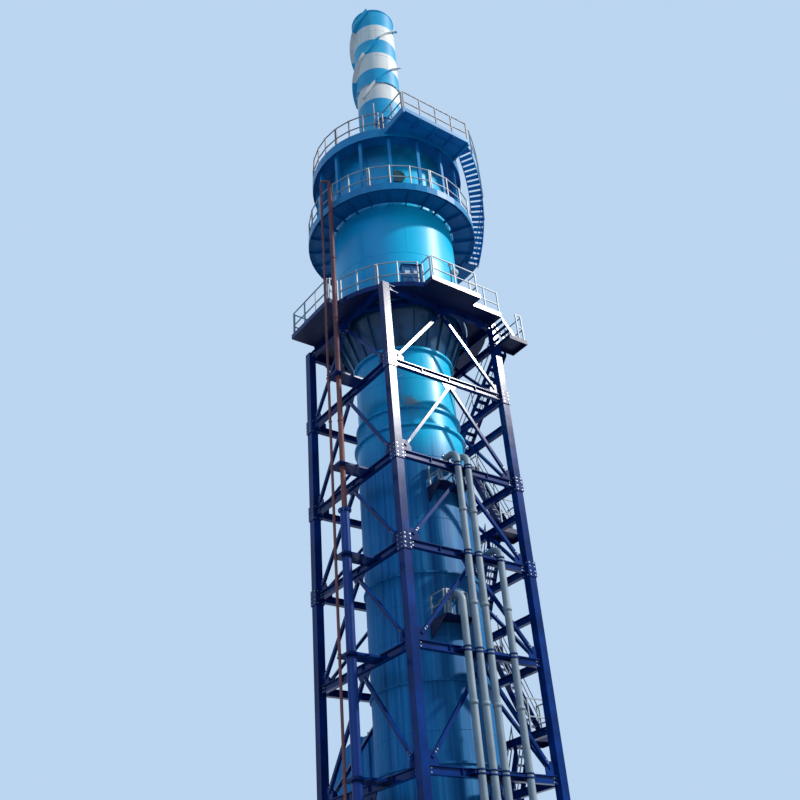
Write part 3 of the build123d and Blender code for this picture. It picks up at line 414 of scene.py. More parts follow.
def vessel_paint():
    """Glossy azure, with painted sunlight on its sunward side, painted shade under the roof, and
    painted shade and a rougher finish on the absorber.

    One patch over the neck's middle ring has burnt through to rust.
    """
    azure, deeper, paler = (0.0, 0.38, 0.74), (0.0, 0.29, 0.62), (0.0, 0.48, 0.82)
    # The first of these is painted sunlight and the second painted shade under the roof; the third
    # is real dirt.
    painted_sunlit, darkened, dirt = (0.0, 0.6, 0.88), (0.0, 0.07, 0.19), (0.06, 0.16, 0.3)
    # Both of these are painted shade on the lower absorber, the second for its sunward side.
    shaded_dull, shade_painted_sunward = (0.001, 0.15, 0.43), (0.0, 0.08, 0.28)
    pale_streak, dark_streak = (0.03, 0.27, 0.55), (0.0, 0.05, 0.22)
    rusty, scorched = (0.13, 0.06, 0.05), (0.05, 0.1, 0.2)
    paint = Finish("vessel_paint")
    # sunny is 1 on the side that faces SUNNY_SIDE, the side where light is painted into the colour
    towards = aim(SUNNY_SIDE)
    sunny = (paint.x * towards[0] + paint.y * towards[1]) / paint.reach()
    colour = paint.shades(azure, deeper, paler)
    # Painted light: a paler cyan on the sunward side, as if sunlit
    colour = paint.mix(sunny.ramp(0.1, 0.75) * 0.75, colour, painted_sunlit)
    # Painted shade under the roof, in patches, in the dark colour of the second tone above
    shaded = paint.z.ramp(*ROOF_SHADE) * paint.noise(1.3).ramp(0.3, 0.6)
    colour = paint.mix(shaded * 0.75, colour, darkened)
    # Painted shade on the lower absorber, darkest on its sunward side; the same mask makes it
    # rougher, takes off its coat and weights its rain streaks
    lower_tone = paint.z.ramp(*ABSORBER_SHADE_AND_MATT)
    colour = paint.mix(lower_tone * 0.9, colour, paint.mix(sunny.ramp(0.1, 0.7), shaded_dull, shade_painted_sunward))
    streaks = paint.runs(16.0, 0.3, detail=6.0, roughness=0.6)
    colour = paint.mix(streaks.ramp(0.5, 0.62) * lower_tone * 0.5, colour, pale_streak)
    colour = paint.mix(streaks.ramp(0.47, 0.36) * lower_tone * 0.6, colour, dark_streak)
    rust = paint.patch(RUST_SPOT, 0.2)
    colour = paint.mix(paint.patch(RUST_HALO_SPOT, 0.36) * 0.3, colour, scorched)
    colour = paint.mix(rust * 0.65, colour, rusty)
    colour = paint.grime(colour, dirt, 0.16)
    paint.set("Coat Weight", 0.14 - lower_tone * 0.14)
    paint.set("Coat Roughness", 0.1)
    ripple = paint.runs(2.6, 0.5, detail=2.0)
    paint.bump(ripple * 0.6 + paint.noise(30.0) * 0.04, 0.3, 0.02)
    roughness = paint.noise(3.0) * 0.14 + rust * 0.3 + lower_tone * 0.2 + 0.3
    return paint.done("vessel_blue", colour, roughness, 0.25)


def cone_paint():
    """The vessel's azure painted dark as shade under the top deck, with soot, a painted shadow near
    the deck and rain stains.
    """
    # These three tones are the vessel's azure darkened as painted shade under the top deck
    azure, deeper, paler = (0.0, 0.11, 0.26), (0.0, 0.06, 0.17), (0.0, 0.19, 0.38)
    sooty, shadow, stain = (0.006, 0.025, 0.045), (0.0, 0.02, 0.06), (0.05, 0.045, 0.04)
    paint = Finish("cone_paint")
    soot = paint.noise(2.6, detail=6.0, roughness=0.65).ramp(0.42, 0.66)
    colour = paint.mix(soot * 0.6, paint.shades(azure, deeper, paler), sooty)
    colour = paint.mix(paint.z.ramp(*CONE_SHADOW) * 0.6, colour, shadow)
    colour = paint.mix(paint.runs(9.0, 0.5, detail=5.0).ramp(0.56, 0.75) * 0.35, colour, stain)
    paint.bump(paint.noise(6.0, detail=4.0) * 0.4, 0.25, 0.01)
    return paint.done("vessel_blue", colour, soot * 0.3 + paint.noise(4.0) * 0.12 + 0.26, 0.4)


def riser_paint():
    """Royal blue gloss on the riser's wide lower length, with pale runs and some dirt."""
    royal, deeper = (0.003, 0.045, 0.26), (0.002, 0.03, 0.19)
    pale_run, dirt = (0.05, 0.12, 0.42), (0.05, 0.06, 0.12)
    paint = Finish("riser_paint")
    colour = paint.clouds(royal, deeper, 1.7)
    colour = paint.mix(paint.runs(20.0, 0.5).ramp(0.56, 0.8) * 0.4, colour, pale_run)
    colour = paint.grime(colour, dirt, 0.2)
    paint.bump(paint.noise(20.0, detail=4.0) * 0.4, 0.25, 0.003)
    return paint.done("vessel_blue", colour, paint.noise(5.0) * 0.15 + 0.32, 0.25)


def frame_paint():
    """Navy satin paint on rolled sections, a little dusty and chipped to primer in places."""
    navy, lighter = (0.001, 0.016, 0.105), (0.002, 0.032, 0.19)
    primer, dust = (0.12, 0.05, 0.04), (0.018, 0.045, 0.12)
    paint = Finish("frame_paint")
    chips = paint.noise(26.0, detail=6.0, roughness=0.7).ramp(0.69, 0.74)
    colour = paint.mix(chips * 0.5, paint.clouds(navy, lighter, 2.2), primer)
    colour = paint.grime(colour, dust, 0.12)
    paint.bump(paint.noise(45.0, detail=4.0) * 0.4 - chips * 0.5, 0.2, 0.003)
    return paint.done("frame_blue", colour, paint.noise(6.0) * 0.06 + chips * 0.3 + 0.15, 0.13)


def deck_paint(name, base, darker):
    """Paint on deck plates, with joints between the plates and scuffed walking surfaces."""
    seam, scuffed, dirt = (0.0, 0.015, 0.06), (0.08, 0.14, 0.22), (0.05, 0.08, 0.15)
    plates_per_turn = 24.0
    paint = Finish(name)
    normal = paint.node("ShaderNodeNewGeometry")["Normal"]
    up = paint.node("ShaderNodeSeparateXYZ", inputs={"Vector": normal})["Z"].ramp(0.3, 0.8)
    plates = paint.y.math("ARCTAN2", paint.x) * (plates_per_turn / (2.0 * pi))
    joint = (plates.math("FRACT") - 0.5).math("ABSOLUTE") > 0.488
    colour = paint.mix(joint * 0.5, paint.clouds(base, darker, 1.1, start=0.3), seam)
    scuffs = paint.noise(5.0, detail=6.0, roughness=0.65).ramp(0.5, 0.72)
    colour = paint.mix(scuffs * up * 0.5, colour, scuffed)
    colour = paint.grime(colour, dirt, 0.14)
    pattern = {"Vector": paint.place, "Scale": 28.0}
    checks = paint.node("ShaderNodeTexVoronoi", {"feature": "F1"}, pattern)["Distance"]
    tread = checks.ramp(0.1, 0.4) * up
    paint.bump(tread * 0.3 - joint * 0.4 + paint.noise(2.0) * 0.4, 0.3, 0.005)
    return paint.done("deck_steel", colour, paint.noise(4.0) * 0.15 + scuffs * 0.2 + 0.36, 0.2)


def trim_paint():
    """Bright azure gloss on deck edges, roof posts, chambers and the pipes' necks."""
    azure, deeper, paler = (0.0, 0.25, 0.54), (0.0, 0.16, 0.4), (0.02, 0.38, 0.66)
    scuffed, dirt = (0.3, 0.36, 0.42), (0.05, 0.12, 0.22)
    paint = Finish("trim_paint")
    scuffs = paint.noise(12.0, detail=6.0, roughness=0.7).ramp(0.66, 0.76)
    colour = paint.mix(scuffs * 0.4, paint.shades(azure, deeper, paler), scuffed)
    colour = paint.grime(colour, dirt, 0.15)
    paint.bump(paint.noise(24.0) * 0.3, 0.2, 0.003)
    return paint.done("vessel_blue", colour, paint.noise(5.0) * 0.12 + scuffs * 0.2 + 0.3, 0.25)


def lid_paint():
    """Dark coat on the manhole lid, with a green bloom."""
    dark, green = (0.001, 0.04, 0.06), (0.004, 0.09, 0.08)
    coat = Finish("lid_paint")
    bloom = coat.noise(7.0, detail=6.0, roughness=0.65).ramp(0.42, 0.7)
    coat.bump(coat.noise(30.0, detail=4.0) * 0.4, 0.25, 0.003)
    return coat.done("vessel_blue", coat.mix(bloom, dark, green), bloom * 0.25 + 0.35)


def stack_paint():
    """Blue and white bands of weathered paint on the stack and its strakes, with soot inside."""
    blue, paler = (0.0, 0.3, 0.58), (0.02, 0.42, 0.68)
    chalk, worn_chalk, dirt = (0.74, 0.75, 0.74), (0.56, 0.58, 0.58), (0.2, 0.23, 0.26)
    soot, ash = (0.03, 0.035, 0.04), (0.07, 0.075, 0.08)
    paint = Finish("stack_paint")
    height = paint.z + (paint.noise(3.0, detail=2.0) - 0.5) * 0.012
    bands = [(height < top) * (height > foot) for top, foot in WHITE_BANDS]
    white = sum(bands[1:], bands[0])
    whites = paint.mix(paint.runs(8.0, 0.3, detail=5.0).ramp(0.45, 0.8), chalk, worn_chalk)
    colour = paint.mix(white, paint.clouds(blue, paler, 1.5, 4.0, 0.3), whites)
    colour = paint.grime(colour, dirt, 0.22)
    inside = paint.reach() < STACK_RADIUS - 0.006
    colour = paint.mix(inside, colour, paint.mix(paint.noise(6.0, detail=5.0), soot, ash))
    ripple = paint.runs(3.0, 0.6, detail=2.0)
    paint.bump(ripple * 0.5 + paint.noise(30.0) * 0.05, 0.3, 0.015)
    roughness = paint.noise(4.0) * 0.2 + white * 0.1 + inside * 0.25 + 0.36
    return paint.done("stack_paint", colour, roughness, 0.3)


def rail_paint(name, base, darker, worn):
    """Grey paint on railings and the mast, with rust where the noise is over the worn value."""
    rusty, dirt = (0.2, 0.1, 0.07), (0.2, 0.22, 0.24)
    paint = Finish(name)
    rust = paint.noise(17.0, detail=6.0, roughness=0.7).ramp(worn, worn + 0.08)
    colour = paint.mix(rust * 0.6, paint.clouds(base, darker, 3.0, 4.0), rusty)
    colour = paint.grime(colour, dirt, 0.25)
    paint.bump(paint.noise(60.0) * 0.3 - rust * 0.4, 0.25, 0.002)
    return paint.done("rail_paint", colour, rust * 0.35 + paint.noise(8.0) * 0.15 + 0.4)


def pipe_coat():
    """Grey coating on the spray pipes, with pale upright runs and stains."""
    grey, deeper = (0.25, 0.31, 0.36), (0.16, 0.21, 0.26)
    pale_run, darkened = (0.4, 0.45, 0.48), (0.1, 0.09, 0.09)
    coat = Finish("pipe_coat")
    colour = coat.clouds(grey, deeper, 1.8, start=0.3)
    colour = coat.mix(coat.runs(22.0, 0.5).ramp(0.55, 0.8) * 0.4, colour, pale_run)
    stain = coat.noise(7.0, detail=6.0, roughness=0.7).ramp(0.6, 0.75)
    colour = coat.mix(stain * 0.5, colour, darkened)
    coat.bump(coat.noise(24.0, detail=5.0) * 0.5, 0.3, 0.004)
    return coat.done("pipe_grey", colour, coat.noise(5.0) * 0.2 + 0.42)


def primer_coat():
    """Red-brown primer on the riser and the return pipe: dark above, lighter and chalky below."""
    dark, brown = (0.07, 0.014, 0.03), (0.125, 0.03, 0.045)
    lower_tone, chalky = (0.27, 0.085, 0.07), (0.36, 0.2, 0.19)
    coat = Finish("primer_coat")
    colour = coat.clouds(dark, brown, 2.0, 6.0)
    colour = coat.mix(coat.z.ramp(*PRIMER_LIGHTER_BELOW) * 0.6, colour, lower_tone)
    chalk = coat.noise(6.0, detail=6.0, roughness=0.7).ramp(0.6, 0.75)
    colour = coat.mix(chalk * 0.35, colour, chalky)
    coat.bump(coat.noise(40.0, detail=5.0) * 0.5, 0.3, 0.003)
    return coat.done("primer_red", colour, coat.noise(5.0) * 0.15 + 0.55)


def cabinet_paint():
    """Satin blue paint on the control cabinet, cloudy and dusty."""
    blue, deeper, dust = (0.01, 0.14, 0.36), (0.02, 0.09, 0.27), (0.2, 0.25, 0.3)
    paint = Finish("cabinet_paint")
    colour = paint.grime(paint.clouds(blue, deeper, 3.5, 4.0), dust, 0.25)
    paint.bump(paint.noise(40.0) * 0.3, 0.2, 0.002)
    return paint.done("cabinet_grey", colour, paint.noise(5.0) * 0.2 + 0.35)


def milky_glass():
    """Pale milky glass of the cabinet's windows and the lamps' globes, dusty in places."""
    milky, dusty = (0.62, 0.7, 0.76), (0.42, 0.47, 0.5)
    glass = Finish("gauge_glass")
    dust = glass.noise(14.0, detail=5.0).ramp(0.4, 0.75)
    return glass.done("cabinet_grey", glass.mix(dust, milky, dusty), dust * 0.3 + 0.08)


def bolt_steel():
    """Zinc-plated bolts, matt and a little rusty."""
    zinc, rusty = (0.36, 0.38, 0.4), (0.2, 0.1, 0.06)
    steel = Finish("bolt_steel")
    rust = steel.noise(30.0, detail=6.0).ramp(0.55, 0.7)
    steel.set("Metallic", 0.8 - rust * 0.7)
    return steel.done("deck_steel", steel.mix(rust, zinc, rusty), rust * 0.35 + 0.35)


VESSEL = vessel_paint()
CONE = cone_paint()
RISER_BLUE = riser_paint()
FRAME_PAINT = frame_paint()
DECK = deck_paint("deck_paint", (0.0, 0.15, 0.38), (0.0, 0.1, 0.28))
ROOF_DECK = deck_paint("roof_deck_paint", (0.0, 0.2, 0.52), (0.0, 0.13, 0.4))
DARK_DECK = deck_paint("dark_deck_paint", (0.006, 0.012, 0.07), (0.003, 0.007, 0.045))
TREAD = deck_paint("tread_paint", (0.0, 0.3, 0.68), (0.0, 0.2, 0.54))
TRIM = trim_paint()
LID = lid_paint()
STACK = stack_paint()
RAIL = rail_paint("rail_paint", (0.36, 0.41, 0.46), (0.22, 0.27, 0.34), 0.64)
OLD_RAIL = rail_paint("old_rail_paint", (0.3, 0.29, 0.31), (0.19, 0.17, 0.18), 0.52)
PIPE = pipe_coat()
PRIMER = primer_coat()
CABINET = cabinet_paint()
PANE = milky_glass()
BOLT = bolt_steel()

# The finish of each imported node, by how the node's name starts
FINISHES = (
    (FRAME_PAINT, "column side_frame corner_beams pipe_guides riser_guides top_deck_edge"),
    (FRAME_PAINT, "short_flight stair"),
    (VESSEL, "absorber body inlet_duct"),
    (CONE, "cone"),
    (LID, "body_manhole"),
    (RISER_BLUE, "riser_lower"),
    (TRIM, "insulator roof_posts ring_deck_edge roof_edge"),
    (STACK, "stack"),
    (DECK, "ring_deck"),
    (ROOF_DECK, "roof_deck"),
    (DARK_DECK, "top_deck service_platforms stair_landings"),
    (TREAD, "helical"),
    (RAIL, "roof_mast top_deck_railing ring_deck_railing service_railings"),
    (RAIL, "flight_railings landing_railings helical_railing"),
    (OLD_RAIL, "roof_railing"),
    (PIPE, "spray_pipe"),
    (PRIMER, "riser_upper return_pipe"),
    (CABINET, "control_cabinet"),
)


def paint_nodes():
    """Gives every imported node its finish: the longest matching start wins."""
    finish_of = {start: finish for finish, starts in FINISHES for start in starts.split()}
    for name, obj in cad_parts.items():
        start = max((start for start in finish_of if name.startswith(start)), key=len)
        obj.data.materials.clear()
        obj.data.materials.append(finish_of[start])


paint_nodes()


# Repeated parts: each recipe sets one shape on every spot, turned to face where the spot says


class Recipe(Tree):
    """A Geometry Nodes tree with named sizes, which sets one shape on every spot."""

    def __init__(self, name, *sizes, counts=()):
        self.tree = bpy.data.node_groups.new(name, "GeometryNodeTree")
        kinds = {"Spots": "Geometry", **dict.fromkeys(sizes, "Float")}
        kinds |= {**dict.fromkeys(counts, "Int"), "Finish": "Material"}
        face = self.tree.interface
        self.labels = {
            label: face.new_socket(label, in_out="INPUT", socket_type="NodeSocket" + kind)
            for label, kind in kinds.items()
        }
        face.new_socket("Shape", in_out="OUTPUT", socket_type="NodeSocketGeometry")
        self.given = self.node("NodeGroupInput")

    def vector(self, x, y, z):
        """Three values as one vector."""
        return self.node("ShaderNodeCombineXYZ", inputs={"X": x, "Y": y, "Z": z})["Vector"]

    def lifted(self, shape, height):
        """A shape raised over its own origin."""
        inputs = {"Geometry": shape, "Translation": self.vector(0.0, 0.0, height)}
        return self.node("GeometryNodeTransform", inputs=inputs)["Geometry"]

    def drum(self, sides, radius, height, foot):
        """A many-sided drum that stands at this height."""
        inputs = {"Vertices": sides, "Radius": radius, "Depth": height}
        drum = self.node("GeometryNodeMeshCylinder", {"fill_type": "NGON"}, inputs)["Mesh"]
        return self.lifted(drum, foot + height * 0.5)

    def joined(self, *shapes):
        """Several shapes as one."""
        node = self.tree.nodes.new("GeometryNodeJoinGeometry")
        for shape in shapes:
            self.tree.links.new(shape.socket, node.inputs[0])
        return Value(self.tree, node.outputs[0])

    def facing(self, axis, pivot):
        """The turn that points an axis of the shape where the spot says."""
        named = {"data_type": "FLOAT_VECTOR"}
        arrow = self.node("GeometryNodeInputNamedAttribute", named, {"Name": "facing"})["Attribute"]
        settings = {"axis": axis, "pivot_axis": pivot}
        inputs = {"Factor": 1.0, "Vector": arrow}
        return self.node("FunctionNodeAlignRotationToVector", settings, inputs)["Rotation"]

    def twisted(self, turn, most):
        """A turn with a random twist about the shape's own axis added, up to this many radians."""
        span = {RANDOM_LEAST: 0.0, RANDOM_MOST: most, "Seed": 7}
        spin = self.node("FunctionNodeRandomValue", {"data_type": "FLOAT"}, span)["Value"]
        inputs = {"Euler": self.vector(0.0, 0.0, spin)}
        twist = self.node("FunctionNodeEulerToRotation", inputs=inputs)["Rotation"]
        local = {"rotation_space": "LOCAL"}
        inputs = {"Rotation": turn, "Rotate By": twist}
        return self.node("FunctionNodeRotateRotation", local, inputs)["Rotation"]

    def close(self, shape, turn):
        """Sets the shape on every spot with this turn, realizes it and paints it."""
        inputs = {"Points": self.given["Spots"], "Instance": shape, "Rotation": turn}
        placed = self.node("GeometryNodeInstanceOnPoints", inputs=inputs)["Instances"]
        solid = self.node("GeometryNodeRealizeInstances", inputs={"Geometry": placed})["Geometry"]
        inputs = {"Geometry": solid, "Material": self.given["Finish"]}
        painted = self.node("GeometryNodeSetMaterial", inputs=inputs)["Geometry"]
        self.node("NodeGroupOutput", inputs={"Shape": painted})
        return self

    def make(self, name, spots, finish, sizes):
        """Builds one piece from the recipe as a plain mesh that rides on the tower."""
        mesh = bpy.data.meshes.new(name + "_spots")
        mesh.from_pydata([place for place, _ in spots], [], [])
        facing = mesh.attributes.new("facing", "FLOAT_VECTOR", "POINT")
        facing.data.foreach_set("vector", [part for _, direction in spots for part in direction])
        carrier = bpy.data.objects.new(name + "_spots", mesh)
        bpy.context.collection.objects.link(carrier)
        modifier = carrier.modifiers.new("recipe", "NODES")
        modifier.node_group = self.tree
        for label, size in sizes.items():
            modifier[self.labels[label].identifier] = size
        modifier[self.labels["Finish"].identifier] = finish
        graph = bpy.context.evaluated_depsgraph_get()
        shape = bpy.data.meshes.new_from_object(carrier.evaluated_get(graph))
        bpy.data.objects.remove(carrier)
        shape.materials.clear()
        shape.materials.append(finish)
        settle(name, shape)


def settle(name, mesh):
    """Turns a finished mesh into a piece that rides on the tower; its finish already carries the
    slot.
    """
    piece = bpy.data.objects.new(name, mesh)
    bpy.context.collection.objects.link(piece)
    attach(piece, "root")


def bolt_sizes(across, head, washer, stud=0.006):
    """The sizes of one kind of bolt."""
    return {"Across Corners": across, "Head Height": head, "Washer Width": washer, "Stud": stud}


FRAME_BOLT = bolt_sizes(0.024, 0.010, 0.032)
ANCHOR_NUT = bolt_sizes(0.046, 0.02, 0.06, 0.03)
STACK_BOLT = bolt_sizes(0.018, 0.008, 0.024, 0.004)
PIPE_BOLT = bolt_sizes(0.018, 0.008, 0.022, 0.005)
CHAMBER_BOLT = bolt_sizes(0.018, 0.008, 0.022)
RISER_BOLT = bolt_sizes(0.02, 0.009, 0.026)
LID_BOLT = bolt_sizes(0.02, 0.01, 0.026)


def bolt_recipe():
    """A hexagon bolt head on its washer, with the end of a stud; each is turned a little."""
    recipe = Recipe("hex_bolt", *FRAME_BOLT)
    given = recipe.given
    height = given["Head Height"]
    washer = recipe.drum(10, given["Washer Width"] * 0.5, height * 0.25, height * -0.05)
    head = recipe.drum(6, given["Across Corners"] * 0.5, height, height * 0.15)
    stud = recipe.drum(6, given["Across Corners"] * 0.25, given["Stud"] * 1.2, height * 1.1)
    turn = recipe.twisted(recipe.facing("Z", "AUTO"), 1.0)
    return recipe.close(recipe.joined(washer, head, stud), turn)


def band_recipe():
    """A flat band round a pipe or a shell, on the spot's own axis."""
    recipe = Recipe("band", "Radius", "Width", "Thickness", counts=("Sides",))
    given = recipe.given
    inputs = {"Resolution": given["Sides"], "Radius": given["Radius"] + given["Thickness"] * 0.5}
    hoop = recipe.node("GeometryNodeCurvePrimitiveCircle", {"mode": "RADIUS"}, inputs)["Curve"]
    kind = "GeometryNodeCurvePrimitiveQuadrilateral"
    inputs = {"Width": given["Thickness"], "Height": given["Width"]}
    strip = recipe.node(kind, {"mode": "RECTANGLE"}, inputs)["Curve"]
    inputs = {"Curve": hoop, "Profile Curve": strip}
    swept = recipe.node("GeometryNodeCurveToMesh", inputs=inputs)["Mesh"]
    return recipe.close(swept, recipe.facing("Z", "AUTO"))


def plate_recipe():
    """A flat plate that faces along a level direction."""
    recipe = Recipe("plate", "Thickness", "Breadth", "Height")
    given = recipe.given
    size = recipe.vector(given["Thickness"], given["Breadth"], given["Height"])
    plate = recipe.node("GeometryNodeMeshCube", inputs={"Size": size})["Mesh"]
    return recipe.close(plate, recipe.facing("X", "Z"))


def globe_recipe():
    """A round lamp globe over the collar that holds it."""
    recipe = Recipe("lamp_globe", "Radius", "Collar")
    given = recipe.given
    inputs = {"Segments": 24, "Rings": 14, "Radius": given["Radius"]}
    ball = recipe.node("GeometryNodeMeshUVSphere", inputs=inputs)["Mesh"]
    collar = recipe.drum(16, given["Radius"] * 0.5, given["Collar"], given["Collar"] * -0.6)
    globe = recipe.joined(recipe.lifted(ball, given["Radius"]), collar)
    return recipe.close(globe, recipe.facing("Z", "AUTO"))


BOLTS = bolt_recipe()
BANDS = band_recipe()
PLATES = plate_recipe()
GLOBES = globe_recipe()


def add_bolts(name, spots, sizes=FRAME_BOLT):
    """One piece of bolts, a bolt on every spot."""
    BOLTS.make(name, spots, BOLT, sizes)


def add_bands(name, spots, finish, radius, width, thickness, sides=32):
    """One piece of flat bands, a band on every spot."""
    sizes = {"Radius": radius, "Width": width, "Thickness": thickness, "Sides": sides}
    BANDS.make(name, spots, finish, sizes)


def add_plates(name, spots, finish, thickness, breadth, height):
    """One piece of plates, a plate on every spot."""
    sizes = {"Thickness": thickness, "Breadth": breadth, "Height": height}
    PLATES.make(name, spots, finish, sizes)


def stacked(x, y, heights):
    """Spots over each other that face up."""
    return [((x, y, height), UP) for height in heights]


def pairs(levels, gap):
    """Heights just below and above each level."""
    return [level + hand * gap for level in levels for hand in HANDS]


# The frame's small parts


def side_spot(azimuth, along, out, height):
    """A place on one side of the frame: along it to the left seen from outside, and out from it."""
    return moved((0, 0, height), (aim(azimuth), HALF_PITCH + out), (aim(azimuth + 90), along))


def out_of(azimuth, hand):
    """The direction out of one side of the frame, or into it for the other hand."""
    return tuple(hand * part for part in aim(azimuth))


def side_levels(side):
    """Levels of the beams on one side: the stair side also has the landings' beams."""
    landings = [top - LANDING_BEAM_DROP for top in LANDING_TOPS]
    return [*LEVELS, *landings] if side == "right" else LEVELS


def beam_bolts(side, azimuth):
    """Bolts through the webs at both ends of every beam on one side."""
    spots = []
    for level, hand in product(side_levels(side), HANDS):
        end = HALF_PITCH - (COLLAR_HALF if level in COLLARED else COLUMN_HALF)
        for inset, lift, face in product(BEAM_BOLT_INSETS, BEAM_BOLT_LIFTS, HANDS):
            place = side_spot(azimuth, hand * (end - inset), face * BEAM_WEB / 2, level + lift)
            spots.append((place, out_of(azimuth, face)))
    return spots


def brace_bolts(azimuth):
    """Bolts at both ends of every brace on one side, from its gusset down to its foot."""
    spots = []
    floors = (BASE_PLATE - BEAM_DEPTH / 2, *LEVELS[:-1])
    for floor, level in zip(floors, LEVELS):
        apex = level - BEAM_DEPTH / 2 - GUSSET_HEIGHT / 2
        heel = floor + BEAM_DEPTH / 2 + FOOT_GUSSET / 2
        toe = HALF_PITCH - COLUMN_HALF - FOOT_GUSSET / 2
        length = sqrt(toe * toe + (apex - heel) ** 2)
        runs = [*BRACE_BOLTS_HIGH, *(length - run for run in BRACE_BOLTS_LOW)]
        for hand, run, face in product(HANDS, runs, HANDS):
            share = run / length
            height = apex + (heel - apex) * share
            place = side_spot(azimuth, hand * toe * share, face * BRACE_HALF, height)
            spots.append((place, out_of(azimuth, face)))
    return spots


def add_frame_bolts():
    """Bolts at the ends of every beam and brace, one piece for each side."""
    for side, azimuth in SIDES.items():
        add_bolts(f"bolts_frame_{side}", beam_bolts(side, azimuth) + brace_bolts(azimuth))


def add_splices():
    """Bolt rows on the columns' splice collars and the nuts on the anchor bolts."""
    spots = []
    anchors = []
    for hands in product(HANDS, HANDS):
        column = [hand * HALF_PITCH for hand in hands]
        for level, azimuth in product(COLLARED, SIDES.values()):
            ahead = aim(azimuth)
            inward = ahead[0] * column[0] + ahead[1] * column[1] < 0
            rows = COLLAR_BOLT_ROWS[::3] if inward else COLLAR_BOLT_ROWS
            for lift, shift in product(rows, COLLAR_BOLT_SHIFTS):
                middle = (*column, level + lift)
                place = moved(middle, (ahead, COLLAR_HALF), (aim(azimuth + 90), shift))
                spots.append((place, ahead))
        for x, y in product(HANDS, HANDS):
            place = (column[0] + x * ANCHOR_REACH, column[1] + y * ANCHOR_REACH, BASE_PLATE)
            anchors.append((place, UP))
    add_bolts("bolts_splices", spots)
    add_bolts("anchor_nuts", anchors, ANCHOR_NUT)


def add_beam_stiffeners():
    """Upright plates between the flanges of every beam."""
    breadth = (BEAM_WIDTH - BEAM_WEB) / 2 - STIFFENER_SETBACK
    spots = []
    for side, azimuth in SIDES.items():
        for level, along, face in product(side_levels(side), STIFFENER_STATIONS, HANDS):
            out = face * (BEAM_WEB / 2 + breadth / 2)
            spots.append((side_spot(azimuth, along, out, level), aim(azimuth + 90)))
    height = BEAM_DEPTH - 2 * BEAM_FLANGE
    add_plates("beam_stiffeners", spots, FRAME_PAINT, 0.008, breadth, height)


# The vessel's and the stack's small parts


def bolt_circles(circles, start=0):
    """Spots on level bolt circles round the tower's axis."""
    spots = []
    for radius, height, count, facing in circles:
        spots += circle((0, 0, height), radius, count, facing, start)
    return spots


def add_vessel_bolts():
    """Bolts round every flange of the vessel, its base disc and the stack's joint."""
    add_bolts("bolts_vessel", bolt_circles(VESSEL_BOLT_CIRCLES))
    add_bolts("bolts_stack", bolt_circles(STACK_BOLT_CIRCLES, STACK_BOLT_START), STACK_BOLT)


def add_weld_beads():
    """Raised weld beads round the shells where their courses of plate meet."""
    for shell, radius, heights in GIRTH_SEAMS:
        seams = stacked(0, 0, heights)
        finish = STACK if shell == "stack" else VESSEL
        add_bands(f"welds_{shell}", seams, finish, radius - 0.001, 0.014, 0.004, SHELL_SIDES)


def add_upright_welds():
    """Upright weld beads, staggered from one course of plate to the next."""
    for radius, courses in COURSES:
        for foot, head, start in courses:
            height = head - foot
            middle = (0, 0, (foot + head) / 2)
            seams = circle(middle, radius, SEAMS_PER_COURSE, start=start)
            name = f"upright_welds_{round(radius * 100)}_{round(height * 100)}"
            add_plates(name, seams, VESSEL, 0.006, 0.014, height)


# The pipes' small parts


def add_pipe_fittings():
    """Clamps at the guides, couplings between them, and the bolted flanges of the spray pipes."""
    clamps = []
    couplings = []
    necks = []
    neck_bolts = []
    foot_bolts = []
    for x, top in PIPES:
        straight = top - PIPE_BEND
        guided = [level for level in LEVELS[:5] if level + 0.05 < straight]
        clamps += stacked(x, PIPE_Y, pairs(guided, 0.035))
        coupled = [height for height in PIPE_COUPLINGS if height + 0.1 < straight]
        couplings += stacked(x, PIPE_Y, coupled)
        necks.append(((x, NECK_FLANGE_Y, top), TO_DUCT))
        face = (x, NECK_BOLTS_Y, top)
        neck_bolts += circle(face, NECK_BOLT_CIRCLE, 8, TO_PIPES, 22.5, along=UP)
        foot_bolts += circle((x, PIPE_Y, FOOT_FLANGE_TOP), FOOT_BOLT_CIRCLE, 8, UP, 22.5)
    add_bands("pipe_clamps", clamps, FRAME_PAINT, PIPE_RADIUS, 0.028, 0.012)
    add_bands("pipe_couplings", couplings, PIPE, PIPE_RADIUS, 0.07, 0.013)
    add_bands("pipe_neck_flanges", necks, TRIM, PIPE_RADIUS, 0.036, 0.036)
    add_bolts("bolts_pipes", neck_bolts + foot_bolts, PIPE_BOLT)


def add_riser_fittings():
    """The flanged joint where the riser narrows, and bands on the riser and the return pipe."""
    middle = stacked(*RISER, [RISER_CHANGE - RISER_JOINT / 2])
    add_bands("riser_joint", middle, RISER_BLUE, RISER_WIDE, RISER_JOINT, RISER_JOINT)
    above = circle((*RISER, RISER_CHANGE), RISER_BOLT_CIRCLE, 8, UP)
    below = circle((*RISER, RISER_CHANGE - RISER_JOINT), RISER_BOLT_CIRCLE, 8, DOWN)
    add_bolts("bolts_riser", [spot for pair in zip(above, below) for spot in pair], RISER_BOLT)
    lower = stacked(*RISER, pairs(LEVELS[:4], 0.04))
    add_bands("riser_bands_lower", lower, FRAME_PAINT, RISER_WIDE, 0.03, 0.012)
    upper = stacked(*RISER, [*pairs(LEVELS[4:6], 0.04), *RISER_BANDS])
    add_bands("riser_bands_upper", upper, PRIMER, RISER_NARROW, 0.03, 0.01)
    thin = stacked(*RETURN, [*pairs(LEVELS[:6], 0.035), *RETURN_BANDS])
    add_bands("return_bands", thin, PRIMER, RETURN_RADIUS, 0.022, 0.009)


# Small parts under and on the decks


